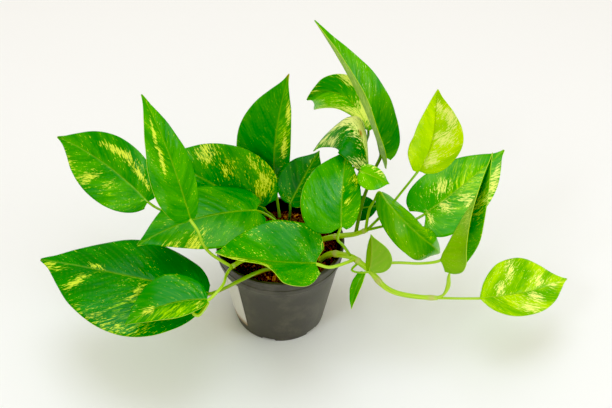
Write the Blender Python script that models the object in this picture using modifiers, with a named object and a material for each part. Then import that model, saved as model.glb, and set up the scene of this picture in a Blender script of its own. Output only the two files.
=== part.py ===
"""Golden pothos in a small nursery pot: thin leaves on stalks, vines, soil, pot and blank label.

Units are metres with +Z up. The pot stands on the plane z = 0 with its axis on the Z axis, and
its label side faces -X. The plant spreads along X, and its open front faces -Y. Sizes are given
below in millimetres and turned into metres where they are used.
"""

import math

import bpy
import bmesh
from mathutils import Vector, noise

MM = 0.001

# ---- pot: one thin moulding, 4.25 inch nursery size ----
POT_HEIGHT = 85.0
RIM_RADIUS = 54.0
RIM_BAND = 15.0
RIM_STEP = 1.6
RIM_LIP = 2.2
WALL_TOP_RADIUS = 51.2
WALL_FOOT_RADIUS = 38.5
WALL = 1.4
FLOOR_THICK = 1.8
POT_STEPS = 44
NOTCH_COUNT = 6
NOTCH_WIDTH = 11.0
NOTCH_HEIGHT = 2.6

# ---- soil ----
SOIL_TOP = 74.0
SOIL_BUMP = 1.0
SOIL_GAP = 0.4
SOIL_STEPS = 30

# ---- label: a thin blank sticker on the wall ----
LABEL_FROM = 176.0
LABEL_TO = 229.0
LABEL_LOW = 10.0
LABEL_HIGH = 66.0
LABEL_THICK = 0.35
LABEL_GAP = 0.3

# ---- leaf blades ----
BLADE_THICK = 0.6
BLADE_CELLS = 3
# Margin of a heart-shaped and of an oval blade, a row per vein: where the row leaves the midrib,
# how far along the blade its end lies, and its share of the half width.
HEART = (
    (0.00, -0.11, 0.36),
    (0.02, -0.085, 0.66),
    (0.07, -0.01, 0.87),
    (0.15, 0.12, 0.98),
    (0.25, 0.27, 1.00),
    (0.36, 0.42, 0.94),
    (0.48, 0.56, 0.81),
    (0.61, 0.70, 0.61),
    (0.74, 0.82, 0.36),
    (0.87, 0.92, 0.13),
    (1.00, 1.00, 0.015),
)
OVAL = (
    (0.00, 0.02, 0.16),
    (0.03, 0.06, 0.42),
    (0.08, 0.13, 0.67),
    (0.16, 0.23, 0.88),
    (0.26, 0.35, 0.99),
    (0.37, 0.48, 0.99),
    (0.49, 0.60, 0.88),
    (0.61, 0.72, 0.68),
    (0.74, 0.83, 0.40),
    (0.87, 0.93, 0.14),
    (1.00, 1.00, 0.015),
)
# Each blade: base, tip, facing, half widths left and right, arch, late droop, sideways bow,
# fold of each half (degrees), curl of each half, twist, heart share, edge wave.
BLADES = {
    "leaf_lower_left": (
        (-55, -58, 78), (-193, -33, 86), (0.10, -0.14, 0.98), 55, 39,
        0.02, 0.02, -0.02, (8, 5), (-16, -16), 4, 0.15, 0.008),
    "leaf_small_over": (
        (-52, -90, 104), (-112, -110, 95), (-0.20, -0.13, 0.97), 17, 26,
        0.07, 0.0, 0.05, (14, 13), (-8, -8), 0, 0.15, 0.010),
    "leaf_upper_left": (
        (-109, 8, 115), (-193, 68, 134), (-0.09, -0.70, 0.71), 29, 27,
        0.04, 0.0, 0.05, (12, 15), (-8, -8), -5, 0.3, 0.008),
    "leaf_upright_left": (
        (-68, -39, 140), (-102, -6, 232), (0.60, -0.62, 0.50), 26, 14,
        0.02, 0.04, 0.0, (18, 18), (-9, -9), -10, 0.2, 0.006),
    "leaf_mid_left_front": (
        (-19, 0, 116), (-112, -37, 108), (-0.20, -0.28, 0.94), 31, 32,
        0.06, 0.02, 0.03, (0, 8), (-16, -16), 16, 0.6, 0.010),
    "leaf_mid_left_back": (
        (-15, 24, 98), (-103, 53, 131), (-0.25, -0.80, 0.52), 19, 40,
        0.08, 0.01, 0.0, (6, 10), (-16, -16), -6, 0.6, 0.008),
    "leaf_back_upright": (
        (-7, 50, 112), (5, 62, 208), (-0.32, -0.79, 0.52), 33, 17,
        0.07, 0.0, -0.01, (16, 17), (-4, -4), 4, 0.6, 0.006),
    "leaf_inner_shaded": (
        (8, 9, 116), (31, 41, 147), (-0.49, -0.77, 0.42), 20, 17,
        0.07, 0.0, 0.02, (14, 14), (-8, -8), -5, 0.3, 0.010),
    "leaf_centre_heart": (
        (49, -31, 128), (51, 8, 174), (0.30, -0.75, 0.58), 36, 16,
        0.08, 0.02, -0.05, (15, 8), (-12, -12), 8, 0.5, 0.008),
    "leaf_over_pot": (
        (30, -52, 108), (-47, -63, 127), (0.0, 0.07, 1.0), 52, 36,
        -0.10, 0.0, 0.08, (31, 31), (-7, -8), -23, 0.7, 0.020),
    "leaf_tall": (
        (82, 34, 148), (24, 53, 263), (0.76, -0.57, 0.30), 19, 23,
        0.10, 0.0, -0.04, (64, 24), (-4, -4), -22, 0.6, 0.004),
    "leaf_hooked_top": (
        (71, 52, 160), (20, 105, 153), (0.0, -0.51, 0.86), 34, 20,
        0.10, 0.07, 0.18, (28, 52), (-4, 15), 80, 0.1, 0.010),
    "leaf_cream_small": (
        (70, 12, 147), (26, 29, 156), (0.15, -0.04, 0.99), 26, 14,
        0.95, -0.10, -0.07, (-12, 11), (-20, -20), 25, 0.0, 0.010),
    "leaf_curled_small": (
        (63, -8, 166), (86, -9, 155), (0.07, -0.66, 0.75), 8, 12,
        0.05, 0.0, 0.0, (12, 12), (-10, -10), 0, 0.6, 0.010),
    "leaf_right_heart": (
        (113, 25, 141), (120, 26, 221), (0.55, -0.53, 0.65), 31, 24,
        0.09, -0.10, 0.09, (10, 52), (-11, 20), 3, 0.1, 0.010),
    "leaf_right_large": (
        (120, 13, 105), (188, 61, 137), (-0.12, -0.47, 0.87), 27, 31,
        0.02, 0.0, 0.02, (9, 12), (-12, -12), 4, 0.9, 0.008),
    "leaf_right_folded": (
        (130, -33, 96), (162, -10, 189), (0.31, -0.06, 0.95), 36, 24,
        -0.16, 0.20, 0.01, (88, 64), (-3, -12), 60, 0.6, 0.004),
    "leaf_centre_right": (
        (81, 10, 130), (131, 6, 66), (0.28, -0.15, 0.95), 24, 19,
        0.12, 0.20, 0.37, (-12, -43), (-19, -30), -15, 0.2, 0.006),
    "leaf_far_right": (
        (166, -39, 60), (245, -6, 52), (0.0, -0.41, 0.91), 30, 22,
        0.05, -0.01, 0.05, (13, 14), (-8, -8), 0, 0.0, 0.010),
    "leaf_upturned": (
        (73, -45, 94), (73, -29, 119), (0.61, 0.40, -0.68), 19, 11,
        0.07, 0.0, 0.0, (9, 34), (-6, -6), 3, 0.4, 0.006),
    "leaf_rolled_down": (
        (69, -36, 82), (60, -53, 58), (-0.81, -0.50, 0.30), 7, 6,
        0.06, 0.0, 0.0, (24, 24), (-6, -6), 0, 0.5, 0.004),
    "leaf_under_centre": (
        (58, 24, 97), (84, 32, 97), (0.10, -0.60, 0.80), 11, 11,
        0.06, 0.0, 0.0, (10, 10), (-8, -8), 0, 0.5, 0.008),
    "leaf_low_inner": (
        (-12, 10, 92), (-25, -7, 98), (0.20, -0.40, 0.90), 8, 9,
        0.06, 0.0, 0.0, (10, 10), (-8, -8), 0, 0.5, 0.008),
}

# ---- stalks: from the plant out to the underside of the blade each one carries ----
# Each stalk: blade it carries, radius at its foot and at the blade, points before the blade.
STALKS = {
    "stalk_lower_left": ("leaf_lower_left", 1.9, 1.4, (
        (-2, -28, 76), (-9, -38, 86), (-20, -50, 92), (-32, -58, 91), (-43, -60, 85))),
    "stalk_small_over": ("leaf_small_over", 1.3, 1.1, (
        (-39, -48, 96), (-40, -58, 99), (-41, -73, 104), (-45, -84, 106))),
    "stalk_upper_left": ("leaf_upper_left", 1.3, 1.0, (
        (-14, 6, 76), (-22, 2, 90), (-45, 0, 98), (-75, 2, 102), (-98, 5, 109))),
    "stalk_upright_left": ("leaf_upright_left", 1.4, 1.1, (
        (-41, -45, 97), (-49, -45, 105), (-55, -46, 113), (-59, -47, 123), (-62, -45, 133))),
    "stalk_mid_left_front": ("leaf_mid_left_front", 1.2, 1.0, (
        (8, 8, 76), (4, 6, 88), (-2, 4, 99), (-10, 3, 108))),
    "stalk_mid_left_back": ("leaf_mid_left_back", 1.2, 1.0, (
        (-4, 30, 76), (-7, 29, 84), (-12, 27, 91))),
    "stalk_back_upright": ("leaf_back_upright", 1.4, 1.1, (
        (-2, 40, 76), (-4, 45, 88), (-6, 50, 100))),
    "stalk_inner_shaded": ("leaf_inner_shaded", 1.2, 1.0, (
        (6, 22, 76), (7, 17, 90), (8, 10, 106))),
    "stalk_centre_heart": ("leaf_centre_heart", 1.4, 1.1, (
        (61, -23, 97), (52, -27, 104), (47, -31, 114), (47, -32, 121))),
    "stalk_over_pot": ("leaf_over_pot", 1.5, 1.2, (
        (60, -35, 97), (49, -45, 100), (40, -51, 103))),
    "stalk_tall": ("leaf_tall", 1.6, 1.2, (
        (62, 1, 97), (67, 11, 115), (72, 19, 130), (76, 26, 139))),
    "stalk_hooked_top": ("leaf_hooked_top", 1.3, 1.0, (
        (30, 33, 76), (35, 38, 90), (48, 43, 104), (62, 49, 126), (70, 54, 147))),
    "stalk_cream_small": ("leaf_cream_small", 1.2, 0.9, (
        (62, 20, 108), (62, 18, 120), (66, 15, 137))),
    "stalk_curled_small": ("leaf_curled_small", 0.9, 0.7, (
        (57, 4, 130), (58, 2, 142), (61, 0, 154))),
    "stalk_right_heart": ("leaf_right_heart", 1.2, 0.9, (
        (76, -3, 104), (88, 9, 112), (99, 17, 124), (107, 22, 134))),
    "stalk_right_large": ("leaf_right_large", 1.2, 1.0, (
        (71, 3, 101), (91, 4, 100), (107, 8, 100))),
    "stalk_right_folded": ("leaf_right_folded", 1.3, 1.1, (
        (76, -29, 92), (92, -35, 94), (114, -36, 95))),
    "stalk_centre_right": ("leaf_centre_right", 1.3, 1.0, (
        (68, 1, 104), (73, 6, 113), (77, 9, 122))),
    "stalk_far_right": ("leaf_far_right", 1.2, 1.0, (
        (135, -44, 64), (150, -42, 62))),
    "stalk_upturned": ("leaf_upturned", 1.0, 0.8, (
        (59, -40, 90), (65, -44, 91))),
    "stalk_under_centre": ("leaf_under_centre", 1.0, 0.8, (
        (26, 29, 76), (38, 32, 89), (50, 29, 95))),
    "stalk_low_inner": ("leaf_low_inner", 1.0, 0.8, (
        (-8, 15, 76), (-9, 13, 84))),
}
STALK_SIDES = 2
STALK_CUTS = 2

# ---- vines: radius at the foot and at the end, then their points ----
VINES = {
    "vine_right": (2.5, 1.9, (
        (36, -14, 77), (43, -19, 87), (52, -24, 91), (60, -28, 92), (67, -33, 90),
        (75, -37, 85), (85, -43, 76), (96, -46, 71), (113, -46, 67), (130, -44, 64))),
    "vine_main": (2.3, 1.9, (
        (28, 4, 77), (40, 0, 87), (52, -2, 92), (62, -3, 95), (72, -3, 100))),
    "vine_left": (2.2, 1.8, (
        (-8, -6, 77), (-14, -17, 86), (-23, -29, 91), (-31, -37, 93), (-37, -44, 94))),
    "vine_back": (2.2, 1.6, (
        (34, 22, 77), (46, 20, 88), (58, 16, 104), (58, 10, 118), (56, 8, 127))),
}
VINE_SIDES = 4
VINE_CUTS = 2

# ---- young shoot and the curled bud ----
SHOOT = (1.0, 2.1, 0.5, ((136, -42, 68), (139, -40, 76), (138, -37, 86), (139, -35, 91)))
BUD = (1.4, 1.4, 0.6, ((-54, -95, 99), (-58, -101, 98), (-62, -101, 101), (-61, -98, 104)))


def reset_scene() -> None:
    """Remove every object so that the part starts from nothing."""
    for item in list(bpy.data.objects):
        bpy.data.objects.remove(item, do_unlink=True)


def new_collection(name: str, hidden: bool = False):
    """Make a collection under the scene."""
    group = bpy.data.collections.new(name)
    bpy.context.scene.collection.children.link(group)
    group.hide_render = hidden
    return group


def material(name: str, colour, roughness: float, metallic: float = 0.0):
    """Make a plain Principled material."""
    mat = bpy.data.materials.new(name)
    mat.use_nodes = True
    shader = mat.node_tree.nodes["Principled BSDF"]
    shader.inputs["Base Color"].default_value = (*colour, 1.0)
    shader.inputs["Roughness"].default_value = roughness
    shader.inputs["Metallic"].default_value = metallic
    mat.diffuse_color = (*colour, 1.0)
    return mat


def mesh_object(name: str, mesh, group, mat):
    """Link a mesh as a named object with one material."""
    mesh.name = name
    item = bpy.data.objects.new(name, mesh)
    group.objects.link(item)
    mesh.materials.clear()
    mesh.materials.append(mat)
    return item


def apply_modifiers(item) -> None:
    """Replace an object's mesh by what its modifiers make of it."""
    graph = bpy.context.evaluated_depsgraph_get()
    done = bpy.data.meshes.new_from_object(item.evaluated_get(graph))
    item.modifiers.clear()
    old = item.data
    item.data = done
    bpy.data.meshes.remove(old)


def tidy_mesh(item, distance: float = 0.00002) -> None:
    """Weld doubled points and face every side outwards."""
    shape = bmesh.new()
    shape.from_mesh(item.data)
    bmesh.ops.remove_doubles(shape, verts=shape.verts, dist=distance)
    bmesh.ops.recalc_face_normals(shape, faces=shape.faces)
    shape.to_mesh(item.data)
    shape.free()


def shade_smooth(item, angle: float = 40.0) -> None:
    """Smooth the shading, keeping edges sharper than the angle."""
    item.data.shade_smooth()
    item.data.set_sharp_from_angle(angle=math.radians(angle))


def turned(name: str, profile, steps: int, group, mat, closed: bool):
    """Turn a profile of (radius, height) about the Z axis with the Screw modifier."""
    mesh = bpy.data.meshes.new(name)
    points = [(r * MM, 0.0, z * MM) for r, z in profile]
    count = len(points)
    edges = [(i, (i + 1) % count) for i in range(count if closed else count - 1)]
    mesh.from_pydata(points, edges, [])
    item = mesh_object(name, mesh, group, mat)
    screw = item.modifiers.new("Turn", "SCREW")
    screw.axis = "Z"
    screw.steps = steps
    screw.render_steps = steps
    screw.use_merge_vertices = True
    screw.merge_threshold = 0.00005
    screw.use_normal_calculate = True
    apply_modifiers(item)
    tidy_mesh(item)
    return item


def wall_radius(z: float) -> float:
    """Outer radius of the pot's tapering wall at a height."""
    top = POT_HEIGHT - RIM_BAND
    return WALL_FOOT_RADIUS + (WALL_TOP_RADIUS - WALL_FOOT_RADIUS) * z / top


def build_pot(group, cutters, mat):
    """Turn the pot and cut the drain notches through the corner of its floor."""
    band_low = POT_HEIGHT - RIM_BAND
    inner_top = RIM_RADIUS - RIM_STEP - WALL
    profile = [
        (RIM_RADIUS - 1.0, POT_HEIGHT),
        (RIM_RADIUS, POT_HEIGHT - 0.8),
        (RIM_RADIUS, POT_HEIGHT - RIM_LIP),
        (RIM_RADIUS - 0.9, POT_HEIGHT - RIM_LIP - 1.0),
        (RIM_RADIUS - 1.2, band_low + 1.0),
        (wall_radius(band_low), band_low),
        (wall_radius(3.0), 3.0),
        (wall_radius(0.0) - 0.3, 0.0),
        (0.0, 0.0),
        (0.0, FLOOR_THICK),
        (wall_radius(FLOOR_THICK) - WALL, FLOOR_THICK),
        (wall_radius(band_low) - WALL, band_low),
        (inner_top, band_low + 2.0),
        (inner_top, POT_HEIGHT - 0.6),
        (inner_top + 0.8, POT_HEIGHT),
    ]
    pot = turned("pot", profile, POT_STEPS, group, mat, True)
    for index in range(NOTCH_COUNT):
        angle = math.radians(18.0 + 360.0 / NOTCH_COUNT * index)
        mesh = bpy.data.meshes.new(f"notch_{index}")
        shape = bmesh.new()
        bmesh.ops.create_cube(shape, size=1.0)
        for vert in shape.verts:
            x = (vert.co.x * 16.0 + wall_radius(0.0)) * MM
            y = vert.co.y * NOTCH_WIDTH * MM
            z = (vert.co.z * 2.0 * NOTCH_HEIGHT) * MM
            vert.co = (
                x * math.cos(angle) - y * math.sin(angle),
                x * math.sin(angle) + y * math.cos(angle),
                z,
            )
        shape.to_mesh(mesh)
        shape.free()
        cutter = bpy.data.objects.new(f"notch_{index}", mesh)
        cutters.objects.link(cutter)
        cutter.display_type = "WIRE"
        cutter.hide_render = True
        cut = pot.modifiers.new(f"Notch {index}", "BOOLEAN")
        cut.operation = "DIFFERENCE"
        cut.solver = "EXACT"
        cut.object = cutter
    apply_modifiers(pot)
    tidy_mesh(pot)
    shade_smooth(pot, 35.0)
    return pot


def build_soil(group, mat):
    """Turn the peat fill, then push its top into low clods."""
    gap = WALL + SOIL_GAP
    low = FLOOR_THICK + SOIL_GAP
    knee = POT_HEIGHT - RIM_BAND
    edge = min(wall_radius(knee), RIM_RADIUS - RIM_STEP) - gap
    profile = [(0.0, SOIL_TOP)]
    for share in (0.2, 0.4, 0.6, 0.8, 0.94):
        profile.append((edge * share, SOIL_TOP))
    profile += [
        (edge, SOIL_TOP - 1.5),
        (edge, knee),
        (wall_radius(low) - gap, low),
        (0.0, low),
    ]
    soil = turned("soil", profile, SOIL_STEPS, group, mat, False)
    for vert in soil.data.vertices:
        if vert.co.z > (SOIL_TOP - 0.5) * MM:
            lift = noise.noise(vert.co * 95.0) * 1.6
            vert.co.z += max(-1.0, min(1.0, lift)) * SOIL_BUMP * MM
    shade_smooth(soil, 60.0)
    return soil


def build_label(group, mat):
    """Wrap a thin sheet round the wall just clear of it."""
    shape = bmesh.new()
    bmesh.ops.create_grid(shape, x_segments=8, y_segments=2, size=0.5)
    for vert in shape.verts:
        angle = math.radians(LABEL_FROM + (vert.co.x + 0.5) * (LABEL_TO - LABEL_FROM))
        z = LABEL_LOW + (vert.co.y + 0.5) * (LABEL_HIGH - LABEL_LOW)
        radius = wall_radius(z) + LABEL_GAP
        vert.co = (radius * math.cos(angle) * MM, radius * math.sin(angle) * MM, z * MM)
    mesh = bpy.data.meshes.new("label")
    shape.to_mesh(mesh)
    shape.free()
    label = mesh_object("label", mesh, group, mat)
    thicken = label.modifiers.new("Thickness", "SOLIDIFY")
    thicken.thickness = LABEL_THICK * MM
    thicken.offset = 1.0
    apply_modifiers(label)
    tidy_mesh(label)
    shade_smooth(label)
    return label


class Blade:
    """A blade's curved surface, from its base, tip, facing and shape numbers."""

    def __init__(self, numbers) -> None:
        """Keep the shape numbers and work out the blade's own axes."""
        (base, tip, face, self.left, self.right, self.arch, self.droop, self.bow,
         self.fold, self.curl, self.twist, self.heart, self.wave) = numbers
        self.base = Vector(base)
        self.tip = Vector(tip)
        self.length = (self.tip - self.base).length
        self.along = (self.tip - self.base).normalized()
        self.side = self.along.cross(Vector(face)).normalized()
        self.up = self.side.cross(self.along)

    def midrib(self, t: float) -> Vector:
        """Point of the midrib at a share of the length, also a little outside it."""
        hump = 4.0 * t * (1.0 - t)
        late = 2.1 * (t - math.copysign(abs(t) ** 4, t))
        rise = (self.arch * hump + self.droop * late) * self.length
        place = self.base + self.along * (self.length * t) + self.up * rise
        return place + self.side * (self.length * self.bow * hump)

    def rows(self):
        """Rows of the margin for this blade's own shape."""
        share = self.heart
        for heart, oval in zip(HEART, OVAL):
            yield tuple(h * share + o * (1.0 - share) for h, o in zip(heart, oval))

    def point(self, start: float, end: float, width: float, v: float) -> Vector:
        """Point of the blade at a share v of its half width along one row."""
        reach = abs(v)
        t = start + (end - start) * reach ** 1.4
        centre = self.midrib(t)
        tangent = (self.midrib(t + 0.001) - self.midrib(t - 0.001)).normalized()
        side = (self.side - tangent * self.side.dot(tangent)).normalized()
        up = side.cross(tangent)
        turn = math.radians(self.twist) * (t - 0.5)
        side, up = (side * math.cos(turn) + up * math.sin(turn),
                    up * math.cos(turn) - side * math.sin(turn))
        half = 0 if v < 0 else 1
        span = (self.left, self.right)[half] * width * reach
        lean = math.radians(self.fold[half] + self.curl[half] * reach / 2.0)
        ripple = math.sin(2.0 * math.pi * 2.0 * t + (math.pi * 0.7 if half else 0.0))
        rise = span * math.sin(lean) + self.wave * self.length * ripple * v * v
        return centre + side * math.copysign(span * math.cos(lean), v) + up * rise


def build_blade(name: str, group, mat):
    """Shape a grid into one blade and give it its thickness."""
    blade = Blade(BLADES[name])
    rows = list(blade.rows())
    columns = 2 * BLADE_CELLS
    shape = bmesh.new()
    bmesh.ops.create_grid(shape, x_segments=columns, y_segments=len(rows) - 1, size=0.5)
    for vert in shape.verts:
        row = rows[round((vert.co.y + 0.5) * (len(rows) - 1))]
        v = round((vert.co.x + 0.5) * columns) / BLADE_CELLS - 1.0
        vert.co = blade.point(*row, v) * MM
    mesh = bpy.data.meshes.new(name)
    shape.to_mesh(mesh)
    shape.free()
    item = mesh_object(name, mesh, group, mat)
    thicken = item.modifiers.new("Thickness", "SOLIDIFY")
    thicken.thickness = BLADE_THICK * MM
    thicken.offset = 0.0
    apply_modifiers(item)
    tidy_mesh(item)
    shade_smooth(item, 60.0)
    return item


def smooth_path(points, cuts: int):
    """Round a path of points with a Catmull-Rom curve."""
    dots = [Vector(p) for p in points]
    ends = [dots[0] * 2 - dots[1]] + dots + [dots[-1] * 2 - dots[-2]]
    path = []
    for i in range(1, len(ends) - 2):
        a, b, c, d = ends[i - 1:i + 3]
        for k in range(cuts):
            t = k / cuts
            path.append(0.5 * (2 * b + (c - a) * t + (2 * a - 5 * b + 4 * c - d) * t * t
                               + (3 * b - a - 3 * c + d) * t ** 3))
    path.append(dots[-1])
    return path


def build_tube(name: str, points, radii, sides: int, cuts: int, group, mat):
    """Sweep a round stem along a path, with a radius at each end and between."""
    path = smooth_path(points, cuts)
    curve = bpy.data.curves.new(name + "_path", "CURVE")
    curve.dimensions = "3D"
    curve.bevel_depth = MM
    curve.bevel_resolution = sides // 2
    curve.use_fill_caps = True
    spline = curve.splines.new("POLY")
    spline.points.add(len(path) - 1)
    for i, place in enumerate(path):
        share = i / (len(path) - 1) * (len(radii) - 1)
        low = min(int(share), len(radii) - 2)
        spline.points[i].co = (*(place * MM), 1.0)
        spline.points[i].radius = radii[low] + (radii[low + 1] - radii[low]) * (share - low)
    guide = bpy.data.objects.new(name + "_path", curve)
    bpy.context.scene.collection.objects.link(guide)
    graph = bpy.context.evaluated_depsgraph_get()
    mesh = bpy.data.meshes.new_from_object(guide.evaluated_get(graph))
    bpy.data.objects.remove(guide, do_unlink=True)
    item = mesh_object(name, mesh, group, mat)
    tidy_mesh(item)
    shade_smooth(item, 50.0)
    return item


def build_stalk(name: str, group, mat):
    """Sweep a stalk that ends just under the base of its blade."""
    carried, foot, top, points = STALKS[name]
    blade = Blade(BLADES[carried])
    tangent = (blade.midrib(0.01) - blade.midrib(0.0)).normalized()
    under = blade.side.cross(tangent)
    end = blade.base - under * (top + BLADE_THICK / 2.0 + 0.35) - tangent * 1.0
    path = list(points) + [tuple(end)]
    return build_tube(name, path, (foot, top), STALK_SIDES, STALK_CUTS, group, mat)


def main() -> None:
    """Build the pot, soil, label, vines, stalks and blades."""
    reset_scene()
    group = new_collection("potted_pothos")
    cutters = new_collection("cutters", hidden=True)
    pot_mat = material("pot", (0.045, 0.043, 0.036), 0.45)
    soil_mat = material("soil", (0.05, 0.025, 0.012), 0.95)
    label_mat = material("label", (0.78, 0.76, 0.70), 0.6)
    leaf_mat = material("leaf", (0.08, 0.30, 0.02), 0.35)
    stalk_mat = material("stalk", (0.22, 0.42, 0.05), 0.4)
    vine_mat = material("vine", (0.34, 0.50, 0.07), 0.4)
    build_pot(group, cutters, pot_mat)
    build_soil(group, soil_mat)
    build_label(group, label_mat)
    for name, (foot, end, points) in VINES.items():
        build_tube(name, points, (foot, end), VINE_SIDES, VINE_CUTS, group, vine_mat)
    for name in STALKS:
        build_stalk(name, group, stalk_mat)
    for name in BLADES:
        build_blade(name, group, leaf_mat)
    for name, (foot, middle, end, points) in (("shoot", SHOOT), ("curled_bud", BUD)):
        build_tube(name, points, (foot, middle, end), STALK_SIDES, STALK_CUTS, group, stalk_mat)


main()
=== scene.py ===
"""Golden pothos in a nursery pot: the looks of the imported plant, built piece by piece.

Lengths are in millimetres until a mesh is written, and in metres in the mesh.
"""

from __future__ import annotations

import logging
import math
import random
from dataclasses import dataclass, field, replace
from enum import Enum
from typing import Sequence

import bmesh  # noqa: E402
import bpy  # noqa: E402
from mathutils import Matrix, Vector, noise  # noqa: E402


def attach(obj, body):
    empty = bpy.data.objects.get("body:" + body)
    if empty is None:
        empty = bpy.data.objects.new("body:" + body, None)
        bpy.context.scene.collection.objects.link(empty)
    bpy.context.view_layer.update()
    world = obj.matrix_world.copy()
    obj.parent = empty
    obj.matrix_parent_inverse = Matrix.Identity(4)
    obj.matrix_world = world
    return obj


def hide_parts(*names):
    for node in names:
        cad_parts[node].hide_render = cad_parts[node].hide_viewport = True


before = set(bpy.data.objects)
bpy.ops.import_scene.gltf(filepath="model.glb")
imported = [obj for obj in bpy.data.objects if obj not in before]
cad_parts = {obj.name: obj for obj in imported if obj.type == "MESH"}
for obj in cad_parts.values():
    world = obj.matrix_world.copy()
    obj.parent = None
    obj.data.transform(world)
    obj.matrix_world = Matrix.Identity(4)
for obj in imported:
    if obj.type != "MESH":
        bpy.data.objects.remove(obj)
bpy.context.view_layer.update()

LOG = logging.getLogger("pothos")
MM = 0.001
Pair = tuple[float, float]
Triple = tuple[float, float, float]
Colour = tuple[float, float, float, float]


class Slot(Enum):
    """Material slots of the plant."""

    POT = "pot"
    SOIL = "soil"
    LABEL = "label"
    LEAF = "leaf"
    STALK = "stalk"
    VINE = "vine"


class Patch(Enum):
    """What a patch on a blade does to its colour."""

    CREAM = "cream"
    LIME = "lime"
    DEEP = "deep"
    BROWN = "brown"


# What a blade's and a stem's mesh tells its materials at each vertex.
BLADE_LAYERS = ("across", "along", "rib", "vein", *(kind.value for kind in Patch))
STEM_LAYERS = ("around", "along", "under", "ring")


# ------------------------------------------------------------------ helpers


def linear(code: str) -> Colour:
    """Turn an sRGB hex colour into linear RGBA.

    Args:
        code: six hex digits, such as "3a7d1e".

    Returns:
        The colour in linear light, with alpha 1.
    """
    parts = [int(code[i : i + 2], 16) / 255.0 for i in (0, 2, 4)]
    low = [p / 12.92 if p <= 0.04045 else ((p + 0.055) / 1.055) ** 2.4 for p in parts]
    return (low[0], low[1], low[2], 1.0)


def bell(distance: float, width: float) -> float:
    """Return a smooth bump: 1 at distance 0, about a third at the width."""
    return math.exp(-((distance / width) ** 2))


def between(points: Sequence, share: float):
    """Read a smooth curve through evenly spaced points.

    Args:
        points: vectors that the curve passes through.
        share: 0 at the first point and 1 at the last.

    Returns:
        The point of a Catmull-Rom curve at that share.
    """
    last = len(points) - 1
    spot = min(max(share, 0.0), 1.0) * last
    i = min(int(spot), last - 1)
    t = spot - i
    b, c = points[i], points[i + 1]
    a = points[i - 1] if i else b * 2 - c
    d = points[i + 2] if i + 2 <= last else c * 2 - b
    return 0.5 * (
        2 * b
        + (c - a) * t
        + (2 * a - 5 * b + 4 * c - d) * t * t
        + (3 * b - a - 3 * c + d) * t**3
    )


def finish_piece(
    shape: bmesh.types.BMesh,
    name: str,
    materials: Sequence[bpy.types.Material],
    nodes: Sequence[str] = (),
    smooth: bool = True,
) -> bpy.types.Object:
    """Turn a bmesh into a piece that rides on the plant.

    Args:
        shape: the finished shape in metres; it is freed.
        name: the piece's name.
        materials: its materials, by index.
        nodes: the solids it stands for.
        smooth: whether its faces are shaded smooth.

    Returns:
        The linked object.
    """
    mesh = bpy.data.meshes.new(name)
    shape.to_mesh(mesh)
    shape.free()
    for item in materials:
        mesh.materials.append(item)
    if smooth:
        mesh.shade_smooth()
    piece = bpy.data.objects.new(name, mesh)
    bpy.context.scene.collection.objects.link(piece)
    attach(piece, "root")
    if nodes:
        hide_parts(*nodes)
    LOG.info("%s: %d faces", name, len(mesh.polygons))
    return piece


class Tree:
    """A material's nodes, with one short way to add one."""

    def __init__(self, name: str) -> None:
        """Start a material with a Principled shader.

        Args:
            name: the material's name.
        """
        self.material = bpy.data.materials.new(name)
        self.material.use_nodes = True
        self.nodes = self.material.node_tree.nodes
        self.links = self.material.node_tree.links
        self.shader = self.nodes["Principled BSDF"]

    def feed(self, node: bpy.types.Node, key: str, value: object) -> None:
        """Set or link one input.

        Args:
            node: the node that takes it.
            key: the input's name with _ for spaces, or i and its number.
            value: a plain value or an output socket.
        """
        numbered = key[0] == "i" and key[1:].isdigit()
        socket = node.inputs[int(key[1:]) if numbered else key.replace("_", " ")]
        if isinstance(value, bpy.types.NodeSocket):
            self.links.new(value, socket)
        else:
            socket.default_value = value

    def add(self, kind: str, settings: dict | None = None, **inputs: object):
        """Add a node with its settings and links.

        Args:
            kind: the node's type, without its ShaderNode prefix.
            settings: property values by name.
            **inputs: input values or sockets, as feed takes them.

        Returns:
            The node's first output that is in use.
        """
        node = self.nodes.new("ShaderNode" + kind)
        for key, value in (settings or {}).items():
            setattr(node, key, value)
        for key, value in inputs.items():
            self.feed(node, key, value)
        return next(out for out in node.outputs if out.enabled)

    def done(self, **inputs: object) -> bpy.types.Material:
        """Fill the shader's inputs.

        Args:
            **inputs: input values or sockets, as feed takes them.

        Returns:
            The finished material.
        """
        for key, value in inputs.items():
            self.feed(self.shader, key, value)
        return self.material


MULTIPLY = {"operation": "MULTIPLY"}
MULTIPLY_ADD = {"operation": "MULTIPLY_ADD"}
SUBTRACT = {"operation": "SUBTRACT"}
LARGER = {"operation": "MAXIMUM"}
MIX = {"data_type": "RGBA"}
EASE = {"interpolation_type": "SMOOTHSTEP"}


# ------------------------------------------------------------------ finishes


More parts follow.
